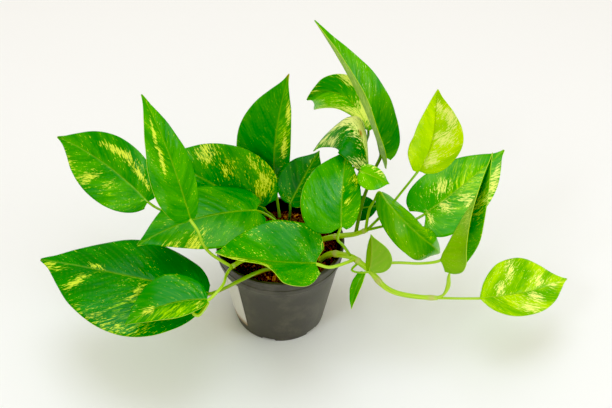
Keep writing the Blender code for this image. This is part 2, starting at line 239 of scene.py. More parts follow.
@dataclass(frozen=True)
class LeafFinish:
    """Living pothos leaf: waxy cuticle over green tissue, marbled along its veins.

    The wax gives soft broad highlights. The tissue glows a little where light comes through, which
    this material leaves out, and the pale marbling lacks chlorophyll, so it is yellow to cream.

    Attributes:
        deep: hex colour of the darkest tissue.
        green: hex colour of most of the blade.
        lime: hex colour of the yellow-green streaks.
        cream: hex colour of the palest marbling.
        marbling: how readily lime streaks show everywhere, 0 to 1.
        flecks: how readily small cream flecks show everywhere, 0 to 1.
        roughness: how dull the wax is.
        seed: shift that makes the pattern one leaf's own.
    """

    deep: str
    green: str
    lime: str
    cream: str
    marbling: float
    flecks: float
    roughness: float
    seed: float = 0.0

    def _place(self, tree: Tree) -> dict[str, object]:
        """Read where on the blade each point is.

        Args:
            tree: the material's tree.

        Returns:
            Sockets by name: the blade's attributes, and flow, the place in millimetres.
        """
        read = {
            name: tree.add("Attribute", {"attribute_name": name}).node.outputs["Fac"]
            for name in BLADE_LAYERS
        }
        read["flow"] = tree.add("CombineXYZ", X=read["across"], Y=read["along"], Z=self.seed)
        return read

    def _marbled(self, tree: Tree, read: dict[str, object]) -> bpy.types.NodeSocket:
        """Colour the tissue with streaks, blotches and flecks.

        Args:
            tree: the material's tree.
            read: the sockets from _place.

        Returns:
            The colour socket.
        """
        # Streaks run along the side veins: about 8 mm long and 2.4 mm wide.
        long = tree.add("Mapping", Vector=read["flow"], Scale=(0.13, 0.42, 1.0))
        streak = tree.add(
            "TexNoise", Vector=long, Scale=1.0, Detail=6.0, Roughness=0.66, Distortion=1.1
        )
        # Flecks are clusters of pale cells, drawn about 1 mm wide so that they show.
        near = tree.add("Mapping", Vector=read["flow"], Scale=(0.6, 1.1, 1.0))
        fleck = tree.add("TexNoise", Vector=near, Scale=1.0, Detail=3.0, Roughness=0.6)
        # Whole areas of a blade are greener or yellower, each about 20 mm across.
        broad = tree.add("Mapping", Vector=read["flow"], Scale=(0.035, 0.06, 1.0))
        cloud = tree.add("TexNoise", Vector=broad, Scale=1.0, Detail=2.0)

        tone = tree.add("MapRange", EASE, Value=cloud, From_Min=0.35, From_Max=0.68)
        fine = tree.add("MapRange", EASE, Value=streak, From_Min=0.3, From_Max=0.75)
        tone = tree.add("Math", MULTIPLY, i0=tone, i1=0.55)
        tone = tree.add("Math", MULTIPLY_ADD, i0=fine, i1=0.35, i2=tone)
        hold = tree.add("Math", SUBTRACT, i0=tone, i1=read["deep"])
        base = tree.add("MapRange", Value=hold, From_Min=0.0, From_Max=0.75)
        colour = tree.add("Mix", MIX, i0=base, i6=linear(self.deep), i7=linear(self.green))

        pull = tree.add("Math", MULTIPLY_ADD, i0=read["lime"], i1=0.3, i2=streak)
        low = 0.74 - 0.26 * self.marbling
        lime = tree.add("MapRange", EASE, Value=pull, From_Min=low, From_Max=low + 0.2)
        colour = tree.add("Mix", MIX, i0=lime, i6=colour, i7=linear(self.lime))

        blend = tree.add("Math", MULTIPLY, i0=streak, i1=0.55)
        blend = tree.add("Math", MULTIPLY_ADD, i0=fleck, i1=0.45, i2=blend)
        pull = tree.add("Math", MULTIPLY_ADD, i0=read["cream"], i1=0.19, i2=blend)
        cream = tree.add("MapRange", EASE, Value=pull, From_Min=0.605, From_Max=0.69)
        spot = 0.70 - 0.12 * self.flecks
        rare = tree.add("Math", MULTIPLY_ADD, i0=cloud, i1=0.35, i2=fleck)
        rare = tree.add("Math", SUBTRACT, i0=rare, i1=0.175)
        dots = tree.add("MapRange", EASE, Value=rare, From_Min=spot, From_Max=spot + 0.05)
        pale = tree.add("Math", LARGER, i0=cream, i1=dots)
        colour = tree.add("Mix", MIX, i0=pale, i6=colour, i7=linear(self.cream))
        # Tissue that has dried out is orange-brown.
        colour = tree.add("Mix", MIX, i0=read["brown"], i6=colour, i7=linear("a8641c"))
        return colour

    def upper(self, name: str) -> bpy.types.Material:
        """Make the glossy upper side.

        Args:
            name: the material's name.

        Returns:
            The material.
        """
        tree = Tree(name)
        read = self._place(tree)
        colour = self._marbled(tree, read)
        # The midrib and the side veins are a little paler than the tissue beside them. The strong
        # pale midrib line is partly its own colour and partly a painted highlight along its sunk
        # groove.
        vein = tree.add("Math", MULTIPLY, i0=read["vein"], i1=0.07)
        rib = tree.add("Math", MULTIPLY_ADD, i0=read["rib"], i1=0.55, i2=vein)
        colour = tree.add("Mix", MIX, i0=rib, i6=colour, i7=linear("b4e03c"))
        # Cells make the wax uneven at about 0.4 mm.
        cell = tree.add("TexNoise", Vector=read["flow"], Scale=2.4, Detail=2.0)
        gloss = tree.add(
            "MapRange",
            Value=cell,
            To_Min=self.roughness - 0.06,
            To_Max=self.roughness + 0.10,
        )
        # The tissue swells between the veins, about 6 mm apart.
        swell = tree.add("TexNoise", Vector=read["flow"], Scale=0.16, Detail=3.0)
        fine = tree.add("Bump", Height=cell, Distance=0.03 * MM)
        normal = tree.add("Bump", Height=swell, Distance=0.6 * MM, Normal=fine)
        return tree.done(
            Base_Color=colour,
            Roughness=gloss,
            Normal=normal,
            IOR=1.45,
            Specular_IOR_Level=0.33,
        )

    def under(self, name: str) -> bpy.types.Material:
        """Make the duller, greyer underside with its raised veins.

        Args:
            name: the material's name.

        Returns:
            The material.
        """
        tree = Tree(name)
        read = self._place(tree)
        colour = self._marbled(tree, read)
        colour = tree.add("Mix", MIX, i0=0.5, i6=colour, i7=linear("a4c438"))
        vein = tree.add("Math", MULTIPLY, i0=read["vein"], i1=0.3)
        rib = tree.add("Math", MULTIPLY_ADD, i0=read["rib"], i1=0.7, i2=vein)
        colour = tree.add("Mix", MIX, i0=rib, i6=colour, i7=linear("a8b048"))
        cell = tree.add("TexNoise", Vector=read["flow"], Scale=2.0, Detail=2.0)
        rough = tree.add("MapRange", Value=cell, To_Min=0.46, To_Max=0.62)
        normal = tree.add("Bump", Height=cell, Distance=0.04 * MM)
        return tree.done(Base_Color=colour, Roughness=rough, Normal=normal, IOR=1.42)

    def edge(self, name: str) -> bpy.types.Material:
        """Make the thin clear margin, which is paler than either side."""
        return Tree(name).done(Base_Color=linear("b4d63c"), Roughness=0.45, IOR=1.42)


@dataclass(frozen=True)
class StemFinish:
    """Smooth living stem: green skin with fine lengthwise lines and a tan blush.

    The skin is waxy, so a thin bright line of light runs along the top.

    Attributes:
        green: hex colour of the sunny side.
        shade: hex colour of the streaks.
        blush: hex colour of the red-brown underside.
        blushing: how much of the skin is blushed, 0 to 1.
    """

    green: str
    shade: str
    blush: str
    blushing: float

    def make(self, name: str) -> bpy.types.Material:
        """Make the material.

        Args:
            name: the material's name.

        Returns:
            The material.
        """
        tree = Tree(name)
        read = {
            name: tree.add("Attribute", {"attribute_name": name}).node.outputs["Fac"]
            for name in STEM_LAYERS
        }
        flow = tree.add("CombineXYZ", X=read["around"], Y=read["along"])
        # Fibres make lines about 0.4 mm apart and centimetres long.
        line = tree.add("Mapping", Vector=flow, Scale=(2.2, 0.07, 1.0))
        fibre = tree.add("TexNoise", Vector=line, Scale=1.0, Detail=3.0)
        stretch = tree.add("Mapping", Vector=flow, Scale=(0.3, 0.05, 1.0))
        cloud = tree.add("TexNoise", Vector=stretch, Scale=1.0, Detail=2.0)
        dark = tree.add("MapRange", EASE, Value=fibre, From_Min=0.35, From_Max=0.7)
        colour = tree.add("Mix", MIX, i0=dark, i6=linear(self.green), i7=linear(self.shade))
        lean = tree.add("Math", MULTIPLY_ADD, i0=read["under"], i1=0.6, i2=cloud)
        low = 1.05 - 0.45 * self.blushing
        blush = tree.add("MapRange", EASE, Value=lean, From_Min=low, From_Max=low + 0.3)
        blush = tree.add("Math", MULTIPLY, i0=blush, i1=0.75)
        colour = tree.add("Mix", MIX, i0=blush, i6=colour, i7=linear(self.blush))
        ring = tree.add("Math", MULTIPLY, i0=read["ring"], i1=0.7)
        colour = tree.add("Mix", MIX, i0=ring, i6=colour, i7=linear("c2b478"))
        rough = tree.add("MapRange", Value=fibre, To_Min=0.3, To_Max=0.46)
        normal = tree.add("Bump", Height=fibre, Distance=0.05 * MM)
        return tree.done(
            Base_Color=colour, Roughness=rough, Normal=normal, IOR=1.45, Coat_Weight=0.1
        )


@dataclass(frozen=True)
class PlasticFinish:
    """Injection-moulded recycled polypropylene: dark warm grey with a satin skin.

    The mould was lightly textured, so highlights are wide and low.
    """

    body: str = "44423a"
    worn: str = "59564a"

    def make(self, name: str) -> bpy.types.Material:
        """Make the material.

        Args:
            name: the material's name.

        Returns:
            The material.
        """
        tree = Tree(name)
        where = tree.add("TexCoord").node.outputs["Object"]
        # The mould's grain is about 0.5 mm; scuffs and dust are centimetres wide.
        grain = tree.add("TexNoise", Vector=where, Scale=1900.0, Detail=2.0)
        dust = tree.add("TexNoise", Vector=where, Scale=55.0, Detail=5.0, Roughness=0.65)
        mask = tree.add("MapRange", EASE, Value=dust, From_Min=0.45, From_Max=0.75)
        colour = tree.add("Mix", MIX, i0=mask, i6=linear(self.body), i7=linear(self.worn))
        rough = tree.add("MapRange", Value=dust, To_Min=0.28, To_Max=0.46)
        normal = tree.add("Bump", Height=grain, Distance=0.04 * MM)
        return tree.done(Base_Color=colour, Roughness=rough, Normal=normal, IOR=1.49)


@dataclass(frozen=True)
class PeatFinish:
    """Damp peat or bark: fibrous brown matter that hardly shines.

    Attributes:
        dark: hex colour of the damp hollows.
        light: hex colour of the dry fibres.
        grit: size of the visible grains in millimetres.
    """

    dark: str = "1c120b"
    light: str = "84603f"
    grit: float = 1.2

    def make(self, name: str) -> bpy.types.Material:
        """Make the material.

        Args:
            name: the material's name.

        Returns:
            The material.
        """
        tree = Tree(name)
        where = tree.add("TexCoord").node.outputs["Object"]
        grain = tree.add(
            "TexNoise", Vector=where, Scale=1.0 / (self.grit * MM), Detail=4.0, Roughness=0.7
        )
        mask = tree.add("MapRange", EASE, Value=grain, From_Min=0.36, From_Max=0.68)
        colour = tree.add("Mix", MIX, i0=mask, i6=linear(self.dark), i7=linear(self.light))
        rough = tree.add("MapRange", Value=grain, To_Min=0.78, To_Max=0.96)
        normal = tree.add("Bump", Height=grain, Distance=self.grit * 0.4 * MM)
        return tree.done(Base_Color=colour, Roughness=rough, Normal=normal, IOR=1.4)


@dataclass(frozen=True)
class PaperFinish:
    """Coated label paper: off-white with a satin face, tan along its first and lower edges."""

    face: str = "dcd8cf"
    tan: str = "9a7b52"

    def make(self, name: str) -> bpy.types.Material:
        """Make the material.

        Args:
            name: the material's name.

        Returns:
            The material.
        """
        tree = Tree(name)
        where = tree.add("TexCoord").node.outputs["Object"]
        edge = tree.add("Attribute", {"attribute_name": "edge"}).node.outputs["Fac"]
        # Paper fibre mottles the face at about 1.5 mm.
        fibre = tree.add("TexNoise", Vector=where, Scale=650.0, Detail=3.0)
        dirt = tree.add("MapRange", Value=fibre, To_Min=0.0, To_Max=0.12)
        colour = tree.add("Mix", MIX, i0=dirt, i6=linear(self.face), i7=linear("b9b2a2"))
        colour = tree.add("Mix", MIX, i0=edge, i6=colour, i7=linear(self.tan))
        rough = tree.add("MapRange", Value=fibre, To_Min=0.42, To_Max=0.56)
        normal = tree.add("Bump", Height=fibre, Distance=0.02 * MM)
        return tree.done(Base_Color=colour, Roughness=rough, Normal=normal, IOR=1.5)


@dataclass(frozen=True)
class BackdropFinish:
    """Matte white studio paper with a faint warm tint."""

    face: str = "f5f4f1"

    def make(self, name: str) -> bpy.types.Material:
        """Make the material.

        Args:
            name: the material's name.

        Returns:
            The material.
        """
        return Tree(name).done(Base_Color=linear(self.face), Roughness=0.9)


# ------------------------------------------------------------------ leaves

# How far toward the base a side vein starts for each millimetre it runs outwards.
SWEEP = 0.7
# Spacing of the side veins, and half the width of the midrib and of a side vein.
VEIN_GAP = 6.5
RIB_HALF = 0.65
VEIN_HALF = 0.55
# How deep the midrib sinks, and how far the tissue puckers and the margin flutters.
RIB_SINK = 0.28
PUCKER = 0.12
FLUTTER = 1.1
# Blades of this length and more have the full relief.
FULL_RELIEF = 90.0
# How many times its own reach a patch takes to fade.
PATCH_FADE = 1.4
# Shift between the patterns of a blade's halves, and from one name's number to the next.
HALF_SHIFT = 40.0
SEED_STEP = 0.37
# Margin of a heart-shaped and of an oval blade, a row per vein: where the row leaves the midrib,
# how far along the blade its end lies, and its share of the half width.
HEART = (
    (0.00, -0.11, 0.36),
    (0.02, -0.085, 0.66),
    (0.07, -0.01, 0.87),
    (0.15, 0.12, 0.98),
    (0.25, 0.27, 1.00),
    (0.36, 0.42, 0.94),
    (0.48, 0.56, 0.81),
    (0.61, 0.70, 0.61),
    (0.74, 0.82, 0.36),
    (0.87, 0.92, 0.13),
    (1.00, 1.00, 0.015),
)
OVAL = (
    (0.00, 0.02, 0.16),
    (0.03, 0.06, 0.42),
    (0.08, 0.13, 0.67),
    (0.16, 0.23, 0.88),
    (0.26, 0.35, 0.99),
    (0.37, 0.48, 0.99),
    (0.49, 0.60, 0.88),
    (0.61, 0.72, 0.68),
    (0.74, 0.83, 0.40),
    (0.87, 0.93, 0.14),
    (1.00, 1.00, 0.015),
)


@dataclass(frozen=True)
class Spot:
    """A patch on a blade.

    Attributes:
        kind: what it does to the colour.
        v: where it is across, -1 at the left margin and 1 at the right.
        row: where it is along, 0 at the base and 1 at the tip.
        width: its reach across.
        height: its reach along.
        strength: how strong it is.
    """

    kind: Patch
    v: float
    row: float
    width: float
    height: float
    strength: float = 1.0

    def hit(self, v: float, row: float) -> float:
        """Return how strongly the patch acts at a place across and along."""
        far = math.hypot((v - self.v) / self.width, (row - self.row) / self.height)
        return self.strength * bell(far, PATCH_FADE)


@dataclass
class Blade:
    """One leaf blade: a curved sheet with a sunk midrib and puckered side veins.

    Attributes:
        name: the solid it stands for.
        base: where the stalk meets it.
        tip: its tip.
        face: the direction its upper side faces.
        left: half width on the left.
        right: half width on the right.
        arch: rise of the middle as a share of the length.
        droop: late bend as a share of the length.
        bow: sideways bend as a share of the length.
        fold: how far each half folds up, in degrees.
        curl: how far each half curls on, in degrees.
        twist: turn from base to tip, in degrees.
        heart: 1 for a heart shape, 0 for an oval.
        wave: ripple of the margin as a share of the length.
        finish: its colours.
        spots: its patches.
        thick: thickness of the blade.
        rows: grid rows from base to tip.
        columns: grid columns in each half.
    """

    name: str
    base: Triple
    tip: Triple
    face: Triple
    left: float
    right: float
    arch: float
    droop: float
    bow: float
    fold: Pair
    curl: Pair
    twist: float
    heart: float
    wave: float
    finish: LeafFinish
    spots: tuple[Spot, ...] = ()
    thick: float = 0.5
    rows: int = 72
    columns: int = 20

    def __post_init__(self) -> None:
        """Work out the blade's own axes."""
        self.foot = Vector(self.base)
        reach = Vector(self.tip) - self.foot
        self.length = reach.length
        self.along = reach.normalized()
        self.side = self.along.cross(Vector(self.face)).normalized()
        self.up = self.side.cross(self.along)
        share = self.heart
        self.margin = [
            Vector(h) * share + Vector(o) * (1.0 - share) for h, o in zip(HEART, OVAL)
        ]
        self.shift = sum(ord(letter) * (i + 3) for i, letter in enumerate(self.name)) % 997

    def midrib(self, t: float) -> Vector:
        """Return the midrib's point at a share of the length."""
        hump = 4.0 * t * (1.0 - t)
        late = 2.1 * (t - math.copysign(abs(t) ** 4, t))
        rise = (self.arch * hump + self.droop * late) * self.length
        place = self.foot + self.along * (self.length * t) + self.up * rise
        return place + self.side * (self.length * self.bow * hump)

    def point(self, row: float, v: float) -> tuple[Vector, Vector, float]:
        """Find a point of the blade's middle surface.

        Args:
            row: 0 at the base, 1 at the tip, along the side veins.
            v: -1 at the left margin, 0 on the midrib, 1 at the right margin.

        Returns:
            The point, the direction it faces and its distance from the midrib.
        """
        start, end, width = between(self.margin, row)
        reach = abs(v)
        t = start + (end - start) * reach**1.4
        centre = self.midrib(t)
        tangent = (self.midrib(t + 0.001) - self.midrib(t - 0.001)).normalized()
        side = (self.side - tangent * self.side.dot(tangent)).normalized()
        up = side.cross(tangent)
        turn = math.radians(self.twist) * (t - 0.5)
        side, up = (
            side * math.cos(turn) + up * math.sin(turn),
            up * math.cos(turn) - side * math.sin(turn),
        )
        half = 0 if v < 0 else 1
        span = (self.left, self.right)[half] * max(width, 0.01) * reach
        lean = math.radians(self.fold[half] + self.curl[half] * reach / 2.0)
        ripple = math.sin(4.0 * math.pi * t + (math.pi * 0.7 if half else 0.0))
        rise = span * math.sin(lean) + self.wave * self.length * ripple * v * v
        place = centre + side * math.copysign(span * math.cos(lean), v) + up * rise
        return place, up, span

    def relief(self, row: float, v: float, span: float) -> tuple[float, float, float]:
        """Raise and sink the surface along its veins.

        Args:
            row: place along the blade.
            v: place across the blade.
            span: distance from the midrib.

        Returns:
            The rise, the midrib's strength and a side vein's strength, here.
        """
        rib = bell(span, RIB_HALF) * (1.0 - 0.6 * row)
        count = round(self.length / VEIN_GAP)
        wander = noise.noise(Vector((row * 7.0, v * 2.0, self.shift))) * 0.25
        phase = (row - SWEEP * span / self.length) * count + wander
        nearest = abs(phase - round(phase)) * self.length / count
        fade = (1.0 - abs(v) ** 4) * min(1.0, span / 3.0)
        vein = bell(nearest, VEIN_HALF) * fade
        pucker = PUCKER * math.cos(2.0 * math.pi * phase) * fade
        flutter = noise.noise(Vector((row * 9.0, v * 1.5, self.shift + 5.0))) * abs(v) ** 3
        size = min(1.0, self.length / FULL_RELIEF)
        return (flutter * FLUTTER - pucker) * size - RIB_SINK * rib, rib, vein

    def build(self) -> bpy.types.Object:
        """Shape a grid into the blade, read its patches into attributes and dress it.

        Returns:
            The finished leaf.
        """
        shape = bmesh.new()
        wide = 2 * self.columns
        bmesh.ops.create_grid(shape, x_segments=wide, y_segments=self.rows, size=0.5)
        layers = {key: shape.verts.layers.float.new(key) for key in BLADE_LAYERS}
        for vert in shape.verts:
            row = vert.co.y + 0.5
            v = vert.co.x * 2.0
            v = math.copysign(abs(v) ** 1.15, v)
            place, up, span = self.point(row, v)
            rise, rib, vein = self.relief(row, v, span)
            vert.co = (place + up * rise) * MM
            vert[layers["across"]] = math.copysign(span, v) + (HALF_SHIFT if v > 0 else 0.0)
            vert[layers["along"]] = row * self.length - SWEEP * span
            vert[layers["rib"]] = rib
            vert[layers["vein"]] = vein
            for kind in Patch:
                hits = [spot.hit(v, row) for spot in self.spots if spot.kind is kind]
                vert[layers[kind.value]] = max(hits, default=0.0)
        seen = replace(self.finish, seed=self.shift * SEED_STEP)
        materials = (
            seen.upper(self.name + "_wax"),
            seen.under(self.name + "_underside"),
            seen.edge(self.name + "_margin"),
        )
        leaf = finish_piece(shape, self.name + "_skin", materials, (self.name,))
        thicken = leaf.modifiers.new("Thickness", "SOLIDIFY")
        thicken.thickness = self.thick * MM
        thicken.offset = 0.0
        thicken.material_offset = 1
        thicken.material_offset_rim = 2
        return leaf


# ------------------------------------------------------------------ stems

# A stem whose sideways vector is shorter than this runs nearly straight up.
STEEP = 0.2
# How much of the last sideways direction the next one keeps.
CARRY = 0.65
# How much a joint swells, and the share of the length that a swelling and its ring take.
SWELL = 0.24
SWELL_REACH = 0.018
RING_REACH = 0.016


@dataclass
class Stem:
    """A round living stem swept along a smooth path.

    Attributes:
        name: the solid it stands for.
        points: places that it passes through.
        radii: radius from foot to end, evenly spread.
        slot: the material slot; not used.
        finish: its colours.
        joints: shares of the length with a ringed swelling.
        groove: depth of the channel along its upper side, as a share of the radius.
        sides: faces around it.
        step: length of one face along it.
    """

    name: str
    points: Sequence[Vector]
    radii: Sequence[float]
    slot: Slot
    finish: StemFinish
    joints: tuple[float, ...] = ()
    groove: float = 0.0
    sides: int = 14
    step: float = 1.6

    def radius(self, share: float) -> float:
        """Return the radius at a share of the length, swellings included."""
        spread = [Vector((r, 0.0)) for r in self.radii]
        size = max(between(spread, share).x, 0.1)
        return size * (1.0 + sum(SWELL * bell(share - j, SWELL_REACH) for j in self.joints))

    def _frames(self, path: list[Vector]) -> list[tuple[Vector, Vector]]:
        """Find which way is sideways and which is up along the stem.

        Args:
            path: places along its axis.

        Returns:
            The two directions at each place, turning slowly from one to the next.
        """
        frames = []
        for i in range(len(path)):
            ahead = (path[min(i + 1, len(path) - 1)] - path[max(i - 1, 0)]).normalized()
            side = ahead.cross(Vector((0.0, 0.0, 1.0)))
            if side.length < STEEP:
                side = ahead.cross(frames[-1][1] if frames else Vector((0.0, 1.0, 0.0)))
            side.normalize()
            if frames and side.dot(frames[-1][0]) < 0:
                side.negate()
            if frames:
                side = side * (1.0 - CARRY) + frames[-1][0] * CARRY
                side = (side - ahead * side.dot(ahead)).normalized()
            frames.append((side, side.cross(ahead)))
        return frames

    def build(self) -> bpy.types.Object:
        """Wrap a grid round the path and close its ends.

        Returns:
            The finished stem.
        """
        points = [Vector(p) for p in self.points]
        length = sum((b - a).length for a, b in zip(points, points[1:]))
        count = max(10, round(length / self.step))
        path = [between(points, i / count) for i in range(count + 1)]
        frames = self._frames(path)
        shape = bmesh.new()
        bmesh.ops.create_grid(shape, x_segments=self.sides, y_segments=count, size=0.5)
        layers = {key: shape.verts.layers.float.new(key) for key in STEM_LAYERS}
        for vert in shape.verts:
            share = vert.co.y + 0.5
            i = round(share * count)
            angle = 2.0 * math.pi * (vert.co.x + 0.5)
            side, up = frames[i]
            size = self.radius(share)
            channel = bell(math.cos(angle / 2.0 - math.pi / 4.0) ** 2 - 1.0, 0.12)
            size *= 1.0 - self.groove * channel * min(1.0, (1.0 - share) * 12.0)
            out = side * math.cos(angle) + up * math.sin(angle)
            vert.co = (path[i] + out * size) * MM
            vert[layers["around"]] = abs(angle - math.pi) * size
            vert[layers["along"]] = share * length
            vert[layers["under"]] = 0.5 - 0.5 * out.z
            rings = (bell(share - j, RING_REACH) for j in self.joints)
            vert[layers["ring"]] = max(rings, default=0.0)
        bmesh.ops.remove_doubles(shape, verts=shape.verts, dist=0.01 * MM)
        rim = [edge for edge in shape.edges if edge.is_boundary]
        bmesh.ops.holes_fill(shape, edges=rim, sides=0)
        bmesh.ops.recalc_face_normals(shape, faces=shape.faces)
        look = self.finish.make(self.name + "_skin")
        return finish_piece(shape, self.name + "_stem", (look,), (self.name,))


@dataclass
class Stalk:
    """A leaf stalk that runs on into the underside of its blade.

    Attributes:
        name: the solid it stands for.
        blade: the leaf it carries.
        foot: radius at the foot.
        top: radius at the blade.
        points: places on the way.
        finish: its colours.
    """

    name: str
    blade: Blade
    foot: float
    top: float
    points: Sequence[Triple]
    finish: StemFinish

    def build(self) -> bpy.types.Object:
        """Carry the stalk under the blade and let it fade into the midrib.

        Returns:
            The finished stalk.
        """
        leaf = self.blade
        tangent = (leaf.midrib(0.01) - leaf.midrib(0.0)).normalized()
        under = leaf.side.cross(tangent)
        join = leaf.foot - under * (self.top * 0.85) - tangent * 0.6
        tail = [leaf.midrib(t) - under * drop for t, drop in ((0.06, 0.55), (0.13, 0.2))]
        points = [Vector(p) for p in self.points] + [join, *tail]
        spare = [self.foot + (self.top - self.foot) * i / (len(points) - 3)
                 for i in range(len(points) - 2)]
        spare[-1] = self.top * 1.12
        radii = [*spare, self.top * 0.55, 0.3]
        return Stem(
            self.name, points, radii, Slot.STALK, self.finish, groove=0.22
        ).build()


# ------------------------------------------------------------------ pot, soil, label


@dataclass(frozen=True)
class Pot:
    """Round nursery pot, 108 mm over its rim and 85 mm tall.

    Attributes:
        height: overall height.
        rim: radius over the rim.
        band: height of the rim band.
        wall_top: wall radius just under the band.
        wall_foot: wall radius at the foot.
        wall: thickness.
        notches: drain notches round the foot.
        notch_width: width of a notch.
        notch_height: height of a notch.
        notch_start: angle of the first notch's middle, in degrees.
        foot_ring: inner radius of the ring that the notches cut.
        floor_edge: radius of the floor's underside.
        floor_under: height of the floor's underside where a notch has lifted it.
        steps: faces round the pot.
    """

    height: float = 85.0
    rim: float = 54.0
    band: float = 15.0
    wall_top: float = 51.2
    wall_foot: float = 38.5
    wall: float = 1.4
    notches: int = 6
    notch_width: float = 11.0
    notch_height: float = 2.6
    notch_start: float = 18.0
    foot_ring: float = 33.0
    floor_edge: float = 36.0
    floor_under: float = 1.6
    steps: int = 216

    def radius(self, z: float) -> float:
        """Return the tapering wall's outer radius at a height."""
        return self.wall_foot + (self.wall_top - self.wall_foot) * z / (self.height - self.band)

    def profile(self) -> list[Pair]:
        """List the turned outline as radius and height, from the rim's top down and round."""
        low = self.height - self.band
        inner = self.rim - 1.6 - self.wall
        outside = [
            (self.rim - 0.9, self.height),
            (self.rim - 0.25, self.height - 0.25),
            (self.rim, self.height - 0.9),
            (self.rim, self.height - 2.4),
            (self.rim - 0.25, self.height - 2.9),
            (self.rim - 0.95, self.height - 3.2),
            (self.rim - 1.0, self.height - 8.6),
            (self.rim - 0.6, self.height - 8.9),
            (self.rim - 0.6, self.height - 9.7),
            (self.rim - 1.1, self.height - 10.0),
            (self.rim - 1.3, low + 1.1),
            (self.rim - 1.7, low + 0.5),
            (self.radius(low) + 0.25, low),
            (self.radius(low), low - 0.6),
        ]
        wall = [(self.radius(z), z) for z in (60.0, 50.0, 40.0, 30.0, 20.0, 12.0, 6.0, 3.2)]
        foot = [
            (self.radius(2.6), 2.6),
            (self.radius(0.8), 0.8),
            (self.radius(0.0) - 0.3, 0.0),
            (36.5, 0.0),
            (33.5, 0.0),
            (31.0, 0.3),
            (0.0, 0.3),
        ]
        inside = [
            (0.0, 1.8),
            (self.radius(1.8) - self.wall, 1.8),
            (self.radius(low) - self.wall, low),
            (inner, low + 2.0),
            (inner, self.height - 0.6),
            (inner + 0.35, self.height - 0.1),
        ]
        return outside + wall + foot + inside

    def build(self) -> bpy.types.Object:
        """Turn the outline, then lift the foot where the drain notches are.

        Returns:
            The finished pot.
        """
        shape = bmesh.new()
        spots = [shape.verts.new((r * MM, 0.0, z * MM)) for r, z in self.profile()]
        edges = [shape.edges.new(pair) for pair in zip(spots, spots[1:] + spots[:1])]
        bmesh.ops.spin(
            shape,
            geom=spots + edges,
            axis=(0.0, 0.0, 1.0),
            cent=(0.0, 0.0, 0.0),
            steps=self.steps,
            angle=2.0 * math.pi,
            use_merge=True,
        )
        bmesh.ops.remove_doubles(shape, verts=shape.verts, dist=0.01 * MM)
        roof = (self.notch_height - 0.1) * MM
        for vert in shape.verts:
            far = vert.co.xy.length
            if vert.co.z > roof or far < self.foot_ring * MM:
                continue
            if far < (self.radius(0.0) - 4.0) * MM and vert.co.z > 0.4 * MM:
                continue
            turn = math.degrees(math.atan2(vert.co.y, vert.co.x)) - self.notch_start
            off = (turn + 180.0 / self.notches) % (360.0 / self.notches) - 180.0 / self.notches
            if abs(math.radians(off)) * self.wall_foot < self.notch_width / 2.0:
                vert.co.z = self.floor_under * MM if far < self.floor_edge * MM else roof
        bmesh.ops.recalc_face_normals(shape, faces=shape.faces)
        look = PlasticFinish().make("moulded_polypropylene")
        pot = finish_piece(shape, "nursery_pot", (look,), ("pot",))
        pot.data.set_sharp_from_angle(angle=math.radians(38.0))
        return pot


